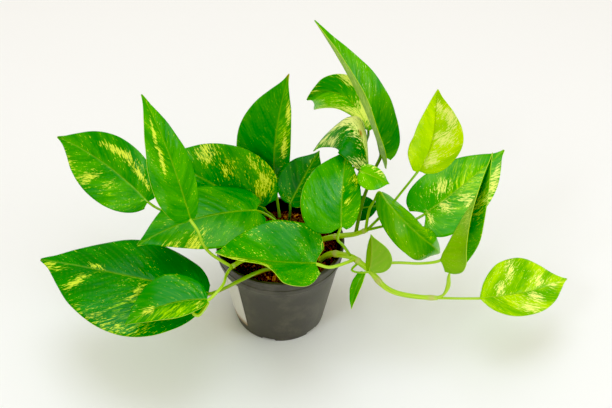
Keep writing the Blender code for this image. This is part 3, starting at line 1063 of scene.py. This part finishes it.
@dataclass
class Soil:
    """Peat fill with bark chips and crumbs on it.

    Attributes:
        pot: the pot it fills.
        top: height of the surface.
        chips: bark chips on the surface.
        crumbs: small crumbs on the surface.
        seed: seed of the scatter.
        low: height of the fill's underside.
        gap: gap between the fill and the rim band.
        rings: rings of faces on the surface.
        peat: the fill's looks.
        bark: the chips' looks.
        crumb: the crumbs' looks.
    """

    pot: Pot
    top: float = 74.0
    chips: int = 54
    crumbs: int = 420
    seed: int = 11
    low: float = 2.2
    gap: float = 0.4
    rings: int = 44
    peat: PeatFinish = PeatFinish()
    bark: PeatFinish = PeatFinish("8c4c24", "f0a458", 2.2)
    crumb: PeatFinish = PeatFinish("3a2416", "b4804c", 0.9)

    def height(self, x: float, y: float) -> float:
        """Return the surface's height at a place."""
        spot = Vector((x, y, 3.0))
        lumps = noise.noise(spot * 0.095) * 1.5 + noise.noise(spot * 0.33) * 1.1
        return self.top + lumps + noise.noise(spot * 0.9) * 0.55

    def build(self) -> None:
        """Build the fill, the chips and the crumbs."""
        knee = self.pot.height - self.pot.band
        edge = self.pot.rim - 1.6 - self.pot.wall - self.gap
        shape = bmesh.new()
        rows = [(edge * i / self.rings, self.top) for i in range(self.rings + 1)]
        rows += [(edge, self.top - 3.0), (self.pot.radius(knee) - 1.8, knee)]
        rows += [(self.pot.radius(self.low) - 1.8, self.low), (0.0, self.low)]
        spots = [shape.verts.new((r * MM, 0.0, z * MM)) for r, z in rows]
        edges = [shape.edges.new(pair) for pair in zip(spots, spots[1:])]
        bmesh.ops.spin(
            shape,
            geom=spots + edges,
            axis=(0.0, 0.0, 1.0),
            cent=(0.0, 0.0, 0.0),
            steps=150,
            angle=2.0 * math.pi,
            use_merge=True,
        )
        bmesh.ops.remove_doubles(shape, verts=shape.verts, dist=0.01 * MM)
        for vert in shape.verts:
            if vert.co.z > (self.top - 0.5) * MM:
                place = vert.co / MM
                fall = 1.2 * max(0.0, place.xy.length - edge + 4.0) / 4.0
                vert.co.z = (self.height(place.x, place.y) - fall) * MM
        bmesh.ops.recalc_face_normals(shape, faces=shape.faces)
        finish_piece(shape, "peat_fill", (self.peat.make("damp_peat"),), ("soil",))
        rng = random.Random(self.seed)
        bark = self.bark.make("bark_chip")
        self._scatter("bark_chips", self.chips, (2.2, 5.5), (0.45, 0.3), bark, rng)
        crumb = self.crumb.make("peat_crumb")
        self._scatter("peat_crumbs", self.crumbs, (0.7, 1.9), (0.8, 0.7), crumb, rng)

    def _scatter(
        self,
        name: str,
        count: int,
        sizes: Pair,
        shares: Pair,
        look: bpy.types.Material,
        rng: random.Random,
    ) -> None:
        """Scatter broken lumps over the surface as one piece.

        Args:
            name: the piece's name.
            count: how many lumps.
            sizes: least and most half length.
            shares: width and thickness as shares of the length.
            look: their material.
            rng: the source of chance.
        """
        shape = bmesh.new()
        reach = self.pot.rim - 7.0
        for _ in range(count):
            made = bmesh.ops.create_icosphere(shape, subdivisions=1, radius=1.0)["verts"]
            size = rng.uniform(*sizes)
            turn = Matrix.Rotation(rng.uniform(0.0, 6.28), 4, "Z")
            tip = Matrix.Rotation(rng.uniform(-0.5, 0.5), 4, "X")
            angle, far = rng.uniform(0.0, 6.28), reach * math.sqrt(rng.random())
            x, y = far * math.cos(angle), far * math.sin(angle)
            place = Matrix.Translation((x, y, self.height(x, y) + size * shares[1] * 0.35))
            for vert in made:
                vert.co *= rng.uniform(0.72, 1.15)
                vert.co = Vector((vert.co.x, vert.co.y * shares[0], vert.co.z * shares[1])) * size
            bmesh.ops.transform(shape, matrix=place @ turn @ tip, verts=made)
        bmesh.ops.scale(shape, vec=(MM, MM, MM), verts=shape.verts)
        finish_piece(shape, name, (look,), smooth=False)


@dataclass(frozen=True)
class Label:
    """Blank paper label wrapped round the wall.

    Attributes:
        pot: the pot it is stuck to.
        start: angle of its first edge, in degrees.
        stop: angle of its last edge, in degrees.
        low: height of its lower edge.
        high: height of its upper edge.
        thick: thickness of the paper.
        glue: gap between the paper and the wall.
        low_stain: share of the height that the lower tan edge takes.
        side_stain: share of the width that the first tan edge takes.
    """

    pot: Pot
    start: float = 176.0
    stop: float = 229.0
    low: float = 10.0
    high: float = 66.0
    thick: float = 0.3
    glue: float = 0.1
    low_stain: float = 0.09
    side_stain: float = 0.2

    def build(self) -> bpy.types.Object:
        """Wrap a sheet round the wall.

        Returns:
            The finished label.
        """
        shape = bmesh.new()
        bmesh.ops.create_grid(shape, x_segments=40, y_segments=24, size=0.5)
        edge = shape.verts.layers.float.new("edge")
        for vert in shape.verts:
            share, rise = vert.co.x + 0.5, vert.co.y + 0.5
            angle = math.radians(self.start + share * (self.stop - self.start))
            z = self.low + rise * (self.high - self.low)
            radius = self.pot.radius(z) + self.glue
            stains = (0.95 * bell(rise, self.low_stain), 0.9 * bell(share, self.side_stain))
            vert[edge] = max(stains)
            vert.co = Vector((radius * math.cos(angle), radius * math.sin(angle), z)) * MM
        look = PaperFinish().make("label_paper")
        label = finish_piece(shape, "blank_label", (look,), ("label",))
        thicken = label.modifiers.new("Thickness", "SOLIDIFY")
        thicken.thickness = self.thick * MM
        thicken.offset = 1.0
        return label


# ------------------------------------------------------------------ the plant

CREAM, LIME, DEEP, BROWN = Patch.CREAM, Patch.LIME, Patch.DEEP, Patch.BROWN

DARK_LEAF = LeafFinish("067a00", "1a9200", "90cc00", "d8ec38", 0.16, 0.2, 0.31)
MID_LEAF = LeafFinish("128800", "4eac00", "a6dc00", "e2f044", 0.26, 0.25, 0.31)
FRESH_LEAF = LeafFinish("30a000", "70c400", "b8e410", "f2fa74", 0.36, 0.25, 0.31)
LIME_LEAF = LeafFinish("98d000", "cef000", "e8f80c", "fafc88", 0.6, 0.5, 0.32)
SHADED_LEAF = LeafFinish("005400", "187c00", "60a800", "b4cc30", 0.1, 0.1, 0.4)
SPECKLED_LEAF = LeafFinish("108a00", "44aa00", "a4dc00", "ecf850", 0.2, 0.55, 0.31)
TALL_LEAF = LeafFinish("229400", "62b800", "b4dc28", "d8ea90", 0.3, 0.2, 0.34)
CREAMY_LEAF = LeafFinish("0a7800", "48a400", "b0dc18", "eef488", 0.5, 0.3, 0.4)
DROOPING_LEAF = LeafFinish("389a00", "7cc000", "b8e010", "eef470", 0.35, 0.2, 0.31)
MARBLED_LEAF = LeafFinish("5cb000", "b8e600", "e6f41c", "fafc80", 0.75, 0.4, 0.32)

PALE_STEM = StemFinish("bce03c", "94c41c", "a8703c", 0.12)
GREEN_STEM = StemFinish("9ccc20", "6aa80c", "8c5a30", 0.15)
BLUSHED_STEM = StemFinish("98c020", "6c9814", "8c4e2e", 0.7)
DARK_STEM = StemFinish("6c9c1c", "44740c", "6c4426", 0.45)


def blades() -> dict[str, Blade]:
    """List the leaves with their own patches.

    Returns:
        The blades by name.
    """
    rows = (
        Blade("leaf_lower_left", (-55, -58, 78), (-193, -33, 86), (0.10, -0.14, 0.98), 55, 39,
              0.02, 0.02, -0.02, (8, 5), (-16, -16), 4, 0.15, 0.008, DARK_LEAF,
              (Spot(CREAM, -0.7, 0.93, 0.5, 0.05, 0.9), Spot(CREAM, -0.55, 0.76, 0.3, 0.02, 0.9),
               Spot(CREAM, 0.12, 0.74, 0.1, 0.03), Spot(CREAM, -0.25, 0.5, 0.2, 0.02, 0.8),
               Spot(LIME, -0.6, 0.42, 0.6, 0.2, 0.8), Spot(CREAM, -0.95, 0.5, 0.14, 0.2, 0.62),
               Spot(DEEP, 0.5, 0.5, 0.6, 0.4, 0.25)), rows=96, columns=28),
        Blade("leaf_small_over", (-52, -90, 104), (-112, -110, 95), (-0.20, -0.13, 0.97), 17, 26,
              0.07, 0.0, 0.05, (14, 13), (-8, -8), 0, 0.15, 0.010, MID_LEAF,
              (Spot(CREAM, -0.05, 0.76, 0.3, 0.05), Spot(LIME, -0.6, 0.5, 0.6, 0.4, 0.9),
               Spot(CREAM, -0.5, 0.2, 0.4, 0.08, 0.7), Spot(DEEP, 0.6, 0.5, 0.5, 0.5, 0.5))),
        # In leaf_upper_left the LIME patch on the left half is partly lime marbling and partly a
        # painted sheen, lightening the half that catches the light.
        Blade("leaf_upper_left", (-109, 8, 115), (-193, 68, 134), (-0.09, -0.70, 0.71), 29, 27,
              0.04, 0.0, 0.05, (12, 15), (-8, -8), -5, 0.3, 0.008, MID_LEAF,
              (Spot(CREAM, -0.7, 0.58, 0.3, 0.04), Spot(CREAM, -0.5, 0.46, 0.2, 0.025, 0.8),
               Spot(CREAM, 0.62, 0.5, 0.1, 0.13, 1.1), Spot(CREAM, 0.5, 0.3, 0.09, 0.12, 1.1),
               Spot(CREAM, -0.95, 0.75, 0.2, 0.1, 0.6), Spot(LIME, -0.6, 0.4, 0.5, 0.3, 0.45),
               Spot(DEEP, 0.5, 0.6, 0.6, 0.4, 0.2))),
        Blade("leaf_upright_left", (-68, -39, 140), (-102, -6, 232), (0.60, -0.62, 0.50), 26, 14,
              0.02, 0.04, 0.0, (18, 18), (-9, -9), -10, 0.2, 0.006, MID_LEAF,
              (Spot(CREAM, -0.5, 0.76, 0.09, 0.08, 1.1), Spot(CREAM, -0.42, 0.6, 0.08, 0.08, 1.1),
               Spot(LIME, -0.4, 0.68, 0.3, 0.2, 0.5), Spot(LIME, 0.5, 0.6, 0.5, 0.4, 0.25))),
        Blade("leaf_mid_left_front", (-19, 0, 116), (-112, -37, 108), (-0.20, -0.28, 0.94), 31, 32,
              0.06, 0.02, 0.03, (0, 8), (-16, -16), 16, 0.6, 0.010, MID_LEAF,
              (Spot(CREAM, -0.85, 0.62, 0.25, 0.05), Spot(CREAM, -0.9, 0.75, 0.2, 0.05, 0.8),
               Spot(LIME, -0.5, 0.45, 0.5, 0.25, 0.3), Spot(CREAM, -0.5, 0.57, 0.2, 0.03, 0.6),
               Spot(DEEP, 0.6, 0.4, 0.5, 0.4, 0.2))),
        Blade("leaf_mid_left_back", (-15, 24, 98), (-103, 53, 131), (-0.25, -0.80, 0.52), 19, 40,
              0.08, 0.01, 0.0, (6, 10), (-16, -16), -6, 0.6, 0.008, MID_LEAF,
              (Spot(CREAM, 0.75, 0.66, 0.3, 0.07, 0.85), Spot(CREAM, 0.5, 0.52, 0.22, 0.06, 0.8),
               Spot(CREAM, 0.6, 0.22, 0.45, 0.08), Spot(CREAM, 0.85, 0.36, 0.2, 0.05, 0.8),
               Spot(LIME, 0.6, 0.45, 0.5, 0.3, 0.4), Spot(DEEP, 0.1, 0.4, 0.3, 0.3, 0.3))),
        Blade("leaf_back_upright", (-7, 50, 112), (5, 62, 208), (-0.32, -0.79, 0.52), 33, 17,
              0.07, 0.0, -0.01, (16, 17), (-4, -4), 4, 0.6, 0.006, MID_LEAF,
              (Spot(CREAM, 0.6, 0.48, 0.16, 0.12), Spot(CREAM, 0.8, 0.7, 0.16, 0.08),
               Spot(LIME, 0.6, 0.55, 0.5, 0.1), Spot(LIME, -0.6, 0.6, 0.6, 0.3, 0.3),
               Spot(LIME, 0.7, 0.85, 0.4, 0.1, 0.6), Spot(BROWN, 0.0, 1.0, 3.0, 0.022, 0.9),
               Spot(DEEP, 0.6, 0.25, 0.4, 0.15, 0.6))),
        Blade("leaf_inner_shaded", (8, 9, 116), (31, 41, 147), (-0.49, -0.77, 0.42), 20, 17,
              0.07, 0.0, 0.02, (14, 14), (-8, -8), -5, 0.3, 0.010, SHADED_LEAF,
              (Spot(CREAM, -0.3, 0.85, 0.2, 0.05, 0.6), Spot(CREAM, 0.2, 0.72, 0.2, 0.03, 0.5))),
        Blade("leaf_centre_heart", (49, -31, 128), (51, 8, 174), (0.30, -0.75, 0.58), 36, 16,
              0.08, 0.02, -0.05, (15, 8), (-12, -12), 8, 0.5, 0.008, MID_LEAF,
              (Spot(CREAM, 0.8, 0.66, 0.25, 0.04), Spot(LIME, 0.4, 0.5, 0.5, 0.3, 0.6),
               Spot(CREAM, 0.3, 0.45, 0.2, 0.05, 0.6), Spot(CREAM, 0.05, 0.6, 0.1, 0.06, 0.6),
               Spot(DEEP, -0.3, 0.6, 0.4, 0.3, 0.15))),
        Blade("leaf_over_pot", (30, -52, 108), (-47, -63, 127), (0.0, 0.07, 1.0), 52, 36,
              -0.10, 0.0, 0.08, (31, 31), (-7, -8), -23, 0.7, 0.020, SPECKLED_LEAF,
              (Spot(CREAM, -0.8, 0.82, 0.4, 0.08), Spot(CREAM, -0.6, 0.66, 0.3, 0.08),
               Spot(CREAM, -0.95, 0.95, 0.4, 0.06, 0.9), Spot(LIME, -0.3, 0.6, 0.3, 0.3, 0.4),
               Spot(CREAM, 0.9, 0.06, 0.3, 0.05, 0.6), Spot(CREAM, 0.95, 0.3, 0.1, 0.2, 0.5))),
        Blade("leaf_tall", (82, 34, 148), (24, 53, 263), (0.76, -0.57, 0.30), 19, 23,
              0.10, 0.0, -0.04, (64, 24), (-4, -4), -22, 0.6, 0.004, TALL_LEAF,
              (Spot(LIME, 0.5, 0.5, 0.5, 0.4, 0.4), Spot(LIME, -0.6, 0.5, 0.5, 0.5, 0.8),
               Spot(CREAM, -0.5, 0.6, 0.5, 0.3, 0.55))),
        Blade("leaf_hooked_top", (71, 52, 160), (20, 105, 153), (0.0, -0.51, 0.86), 34, 20,
              0.10, 0.07, 0.18, (28, 52), (-4, 15), 80, 0.1, 0.010, FRESH_LEAF,
              (Spot(CREAM, 0.2, 0.3, 1.0, 0.12, 1.3), Spot(CREAM, 0.85, 0.5, 0.3, 0.08),
               Spot(CREAM, 0.2, 0.15, 0.6, 0.06), Spot(CREAM, 0.8, 0.85, 0.3, 0.06, 0.7),
               Spot(DEEP, 0.5, 0.68, 0.4, 0.1, 0.6), Spot(CREAM, -0.6, 0.4, 0.5, 0.3, 0.6))),
        Blade("leaf_cream_small", (70, 12, 147), (26, 29, 156), (0.15, -0.04, 0.99), 26, 14,
              0.95, -0.10, -0.07, (-12, 11), (-20, -20), 25, 0.0, 0.010, CREAMY_LEAF,
              (Spot(CREAM, 0.5, 0.5, 0.5, 0.35, 1.3), Spot(CREAM, -0.75, 0.78, 0.3, 0.08),
               Spot(CREAM, -0.6, 0.22, 0.5, 0.06), Spot(CREAM, -0.2, 0.9, 0.5, 0.06),
               Spot(DEEP, -0.6, 0.5, 0.4, 0.25, 0.7), Spot(DEEP, -0.15, 0.62, 0.12, 0.1, 0.8),
               Spot(BROWN, 0.15, 0.45, 0.1, 0.025, 0.9))),
        Blade("leaf_curled_small", (63, -8, 166), (86, -9, 155), (0.07, -0.66, 0.75), 8, 12,
              0.05, 0.0, 0.0, (12, 12), (-10, -10), 0, 0.6, 0.010, FRESH_LEAF,
              (Spot(CREAM, -0.8, 0.5, 0.3, 0.4, 0.7),), rows=40, columns=12),
        Blade("leaf_right_heart", (113, 25, 141), (120, 26, 221), (0.55, -0.53, 0.65), 31, 24,
              0.09, -0.10, 0.09, (10, 52), (-11, 20), 3, 0.1, 0.010, LIME_LEAF,
              (Spot(CREAM, 0.35, 0.52, 0.3, 0.06), Spot(CREAM, 0.7, 0.7, 0.3, 0.1),
               Spot(CREAM, 0.3, 0.82, 0.3, 0.06), Spot(CREAM, 0.2, 0.28, 0.25, 0.1))),
        # In leaf_right_large the DEEP patch on the left basal lobe is painted shade: it darkens
        # the lobe where it curls up into shadow.
        Blade("leaf_right_large", (120, 13, 105), (188, 61, 137), (-0.12, -0.47, 0.87), 27, 31,
              0.02, 0.0, 0.02, (9, 12), (-12, -12), 4, 0.9, 0.008, FRESH_LEAF,
              (Spot(CREAM, 0.15, 0.34, 0.22, 0.05, 0.9), Spot(CREAM, 0.5, 0.5, 0.3, 0.05, 0.9),
               Spot(CREAM, 0.85, 0.7, 0.2, 0.14), Spot(CREAM, -0.35, 0.42, 0.2, 0.07),
               Spot(LIME, 0.0, 0.6, 0.8, 0.25, 0.7), Spot(CREAM, 0.3, 0.12, 0.3, 0.04),
               Spot(DEEP, -0.5, 0.15, 0.5, 0.13, 0.9))),
        Blade("leaf_right_folded", (130, -33, 96), (162, -10, 189), (0.31, -0.06, 0.95), 36, 24,
              -0.16, 0.20, 0.01, (88, 64), (-3, -12), 60, 0.6, 0.004, FRESH_LEAF,
              (Spot(CREAM, 0.6, 0.7, 0.4, 0.1, 0.8), Spot(CREAM, -0.5, 0.6, 0.4, 0.1, 0.7))),
        Blade("leaf_centre_right", (81, 10, 130), (131, 6, 66), (0.28, -0.15, 0.95), 24, 19,
              0.12, 0.20, 0.37, (-12, -43), (-19, -30), -15, 0.2, 0.006, DROOPING_LEAF,
              (Spot(CREAM, 0.82, 0.74, 0.16, 0.05), Spot(LIME, -0.6, 0.6, 0.4, 0.1, 0.7),
               Spot(CREAM, 0.75, 0.62, 0.12, 0.03, 0.7), Spot(DEEP, 0.2, 0.5, 0.5, 0.3, 0.2))),
        Blade("leaf_far_right", (166, -39, 60), (245, -6, 52), (0.0, -0.41, 0.91), 30, 22,
              0.05, -0.01, 0.05, (13, 14), (-8, -8), 0, 0.0, 0.010, MARBLED_LEAF,
              (Spot(CREAM, -0.3, 0.72, 0.3, 0.06, 0.8), Spot(CREAM, -0.7, 0.45, 0.3, 0.06, 0.8),
               Spot(CREAM, 0.35, 0.62, 0.3, 0.05), Spot(CREAM, 0.7, 0.5, 0.3, 0.06),
               Spot(CREAM, -0.2, 0.35, 0.2, 0.05), Spot(CREAM, 0.1, 0.85, 0.3, 0.05),
               Spot(DEEP, 0.5, 0.75, 0.3, 0.06, 0.5), Spot(DEEP, -0.6, 0.6, 0.2, 0.05, 0.4))),
        Blade("leaf_upturned", (73, -45, 94), (73, -29, 119), (0.61, 0.40, -0.68), 19, 11,
              0.07, 0.0, 0.0, (9, 34), (-6, -6), 3, 0.4, 0.006, MID_LEAF,
              (), rows=44, columns=14),
        Blade("leaf_rolled_down", (69, -36, 82), (60, -53, 58), (-0.81, -0.50, 0.30), 7, 6,
              0.06, 0.0, 0.0, (24, 24), (-6, -6), 0, 0.5, 0.004, FRESH_LEAF,
              (), rows=32, columns=10),
        Blade("leaf_under_centre", (58, 24, 97), (84, 32, 97), (0.10, -0.60, 0.80), 11, 11,
              0.06, 0.0, 0.0, (10, 10), (-8, -8), 0, 0.5, 0.008, SHADED_LEAF,
              (), rows=32, columns=10),
        Blade("leaf_low_inner", (-12, 10, 92), (-25, -7, 98), (0.20, -0.40, 0.90), 8, 9,
              0.06, 0.0, 0.0, (10, 10), (-8, -8), 0, 0.5, 0.008, SHADED_LEAF,
              (), rows=32, columns=10),
    )
    return {blade.name: blade for blade in rows}


# Each stalk: radius at its foot and at the blade, its finish, and points before the blade.
STALKS = {
    "lower_left": (1.9, 1.4, BLUSHED_STEM, (
        (-2, -28, 76), (-9, -38, 86), (-20, -50, 92), (-32, -58, 91), (-43, -60, 85))),
    "small_over": (1.3, 1.1, PALE_STEM, (
        (-39, -48, 96), (-40, -58, 99), (-41, -73, 104), (-45, -84, 106))),
    "upper_left": (1.3, 1.0, GREEN_STEM, (
        (-14, 6, 76), (-22, 2, 90), (-45, 0, 98), (-75, 2, 102), (-98, 5, 109))),
    "upright_left": (1.4, 1.1, PALE_STEM, (
        (-41, -45, 97), (-49, -45, 105), (-55, -46, 113), (-59, -47, 123), (-62, -45, 133))),
    "mid_left_front": (1.2, 1.0, GREEN_STEM, (
        (8, 8, 76), (4, 6, 88), (-2, 4, 99), (-10, 3, 108))),
    "mid_left_back": (1.2, 1.0, GREEN_STEM, (
        (-4, 30, 76), (-7, 29, 84), (-12, 27, 91))),
    "back_upright": (1.4, 1.1, GREEN_STEM, (
        (-2, 40, 76), (-4, 45, 88), (-6, 50, 100))),
    "inner_shaded": (1.2, 1.0, DARK_STEM, (
        (6, 22, 76), (7, 17, 90), (8, 10, 106))),
    "centre_heart": (1.4, 1.1, GREEN_STEM, (
        (61, -23, 97), (52, -27, 104), (47, -31, 114), (47, -32, 121))),
    "over_pot": (1.5, 1.2, PALE_STEM, (
        (60, -35, 97), (49, -45, 100), (40, -51, 103))),
    "tall": (1.6, 1.2, DARK_STEM, (
        (62, 1, 97), (67, 11, 115), (72, 19, 130), (76, 26, 139))),
    "hooked_top": (1.3, 1.0, DARK_STEM, (
        (30, 33, 76), (35, 38, 90), (48, 43, 104), (62, 49, 126), (70, 54, 147))),
    "cream_small": (1.2, 0.9, GREEN_STEM, (
        (62, 20, 108), (62, 18, 120), (66, 15, 137))),
    "curled_small": (0.9, 0.7, GREEN_STEM, (
        (57, 4, 130), (58, 2, 142), (61, 0, 154))),
    "right_heart": (1.2, 0.9, GREEN_STEM, (
        (76, -3, 104), (88, 9, 112), (99, 17, 124), (107, 22, 134))),
    "right_large": (1.2, 1.0, GREEN_STEM, (
        (71, 3, 101), (91, 4, 100), (107, 8, 100))),
    "right_folded": (1.3, 1.1, PALE_STEM, (
        (76, -29, 92), (92, -35, 94), (114, -36, 95))),
    "centre_right": (1.3, 1.0, GREEN_STEM, (
        (68, 1, 104), (73, 6, 113), (77, 9, 122))),
    "far_right": (1.2, 1.0, PALE_STEM, (
        (135, -44, 64), (150, -42, 62))),
    "upturned": (1.0, 0.8, GREEN_STEM, (
        (59, -40, 90), (65, -44, 91))),
    "under_centre": (1.0, 0.8, DARK_STEM, (
        (26, 29, 76), (38, 32, 89), (50, 29, 95))),
    "low_inner": (1.0, 0.8, DARK_STEM, (
        (-8, 15, 76), (-9, 13, 84))),
}

# Each vine: radius at its foot and at its end, shares of its length with a joint, its points.
VINES = {
    "vine_right": (2.5, 1.9, (0.24, 0.46, 0.66, 0.97), (
        (36, -14, 77), (43, -19, 87), (52, -24, 91), (60, -28, 92), (67, -33, 90),
        (75, -37, 85), (85, -43, 76), (96, -46, 71), (113, -46, 67), (130, -44, 64))),
    "vine_main": (2.3, 1.9, (0.5, 0.95), (
        (28, 4, 77), (40, 0, 87), (52, -2, 92), (62, -3, 95), (72, -3, 100))),
    "vine_left": (2.2, 1.8, (0.55, 0.96), (
        (-8, -6, 77), (-14, -17, 86), (-23, -29, 91), (-31, -37, 93), (-37, -44, 94))),
    "vine_back": (2.2, 1.6, (0.4, 0.7, 0.96), (
        (34, 22, 77), (46, 20, 88), (58, 16, 104), (58, 10, 118), (56, 8, 127))),
}


# Stalks whose first point is lower and nearer the axis than this start in the soil.
SOIL_REACH = 50.0
SOIL_LINE = 78.0
# How deep a stalk's foot goes into the soil, and the height at which a vine's foot starts.
ROOTED = 7.0
VINE_FOOT = 70.0
# A first point nearer than this to its vine is left out of the stalk's way.
TOO_NEAR = 9.0


@dataclass
class Plant:
    """The vines, the stalks, the leaves, the young shoot and the curled bud."""

    leaves: dict[str, Blade] = field(default_factory=blades)

    def build(self) -> None:
        """Build every living piece, vines first."""
        for name, (foot, end, joints, points) in VINES.items():
            down = (points[0][0] - 2.0, points[0][1], VINE_FOOT)
            path = [Vector(p) for p in (down, *points)]
            Stem(name, path, (foot, foot, end), Slot.VINE, PALE_STEM, joints, sides=20).build()
        for name, (foot, top, finish, points) in STALKS.items():
            start = self._source(Vector(points[0]))
            near = (start - Vector(points[0])).length < TOO_NEAR and len(points) > 2
            way = points[1:] if near and points[0][2] > SOIL_LINE else points
            blade = self.leaves["leaf_" + name]
            Stalk("stalk_" + name, blade, foot, top, (start, *way), finish).build()
        for blade in self.leaves.values():
            blade.build()
        shoot = ((129, -44, 64), (135, -43, 67), (138, -41, 75), (138, -38, 83), (139, -36, 89))
        Stem("shoot", shoot, (1.3, 1.1, 1.9, 1.3, 0.12), Slot.STALK, PALE_STEM).build()
        bud = ((-51, -90, 101), (-54, -95, 99), (-58, -101, 98), (-62, -101, 101), (-61, -98, 104))
        Stem("curled_bud", bud, (1.0, 1.4, 1.4, 1.1, 0.3), Slot.STALK, PALE_STEM).build()

    def _source(self, foot: Vector) -> Vector:
        """Find where a stalk leaves the plant.

        Args:
            foot: the stalk's first point.

        Returns:
            A point in the soil, or on the axis of the nearest vine.
        """
        if foot.xy.length < SOIL_REACH and foot.z < SOIL_LINE:
            return foot - Vector((0.0, 0.0, ROOTED))
        axes = [
            between([Vector(p) for p in points], i / 60)
            for *_, points in VINES.values()
            for i in range(61)
        ]
        return min(axes, key=lambda spot: (spot - foot).length)


# ------------------------------------------------------------------ studio


@dataclass(frozen=True)
class Studio:
    """Seamless pale floor, a wide soft light overhead, two weaker ones and a pale surround.

    Attributes:
        floor: side of the floor in metres.
        key: power of the overhead light in watts.
        fill: strength of the surround.
        lights: each light's name, place, side in metres and share of the key's power.
        aim: what the lights point at.
        eye: where the camera is.
        pitch: how far the camera looks down, in degrees.
        roll: how far it is rolled, in degrees.
        lens: its focal length in millimetres, on a sensor 36 mm wide.
        black: light below this is shown black.
    """

    floor: float = 14.0
    key: float = 6.6
    fill: float = 0.83
    lights: tuple[tuple[str, Triple, float, float], ...] = (
        ("overhead", (-0.1, 0.12, 1.6), 0.9, 1.0),
        ("front", (-0.7, -0.9, 1.1), 0.3, 0.45),
        ("right", (1.4, -0.5, 0.5), 0.45, 0.8),
    )
    aim: Triple = (0.02, 0.0, 0.1)
    eye: Triple = (0.021, -0.613, 0.655)
    pitch: float = 40.9
    roll: float = 1.4
    lens: float = 58.8
    black: float = 0.024

    def build(self) -> None:
        """Build the floor, the lights and the camera."""
        shape = bmesh.new()
        bmesh.ops.create_grid(shape, x_segments=1, y_segments=1, size=self.floor / 2.0)
        mesh = bpy.data.meshes.new("floor")
        shape.to_mesh(mesh)
        shape.free()
        mesh.materials.append(BackdropFinish().make("studio_paper"))
        floor = bpy.data.objects.new("floor", mesh)
        bpy.context.scene.collection.objects.link(floor)
        for name, place, size, share in self.lights:
            self._light(name, place, size, self.key * share)
        world = bpy.data.worlds.new("surround")
        bpy.context.scene.world = world
        world.use_nodes = True
        sky = world.node_tree.nodes["Background"]
        sky.inputs["Color"].default_value = linear("fff8ee")
        sky.inputs["Strength"].default_value = self.fill
        self._camera()
        view = bpy.context.scene.view_settings
        view.view_transform = "Standard"
        view.look = "None"
        view.exposure = 0.0
        view.use_curve_mapping = True
        view.curve_mapping.black_level = (self.black,) * 3
        view.curve_mapping.update()

    def _light(self, name: str, place: Triple, size: float, power: float) -> None:
        """Add a square area light aimed at the plant.

        Args:
            name: the light's name.
            place: where it is, in metres.
            size: its side in metres.
            power: its power in watts.
        """
        data = bpy.data.lights.new(name, "AREA")
        data.size = size
        data.energy = power
        data.color = linear("dceeff")[:3]
        item = bpy.data.objects.new(name, data)
        item.location = place
        aim = Vector(self.aim) - Vector(place)
        item.rotation_euler = aim.to_track_quat("-Z", "Y").to_euler()
        bpy.context.scene.collection.objects.link(item)

    def _camera(self) -> None:
        """Look down on the plant from the front, rolled a little."""
        pitch, roll = math.radians(self.pitch), math.radians(self.roll)
        ahead = Vector((0.0, math.cos(pitch), -math.sin(pitch)))
        flat = Vector((1.0, 0.0, 0.0))
        over = flat.cross(ahead)
        right = flat * math.cos(roll) + over * math.sin(roll)
        up = over * math.cos(roll) - flat * math.sin(roll)
        data = bpy.data.cameras.new("camera")
        data.lens = self.lens
        data.sensor_width = 36.0
        camera = bpy.data.objects.new("camera", data)
        turn = Matrix((right, up, -ahead)).transposed().to_4x4()
        camera.matrix_world = Matrix.Translation(self.eye) @ turn
        bpy.context.scene.collection.objects.link(camera)
        bpy.context.scene.camera = camera


def main() -> None:
    """Build the pot, its fill and label, the plant and the studio; each piece logs its face count.
    """
    logging.basicConfig(level=logging.INFO, format="%(message)s")
    pot = Pot()
    pot.build()
    Label(pot).build()
    Soil(pot).build()
    Plant().build()
    Studio().build()


if __name__ == "__main__":
    main()
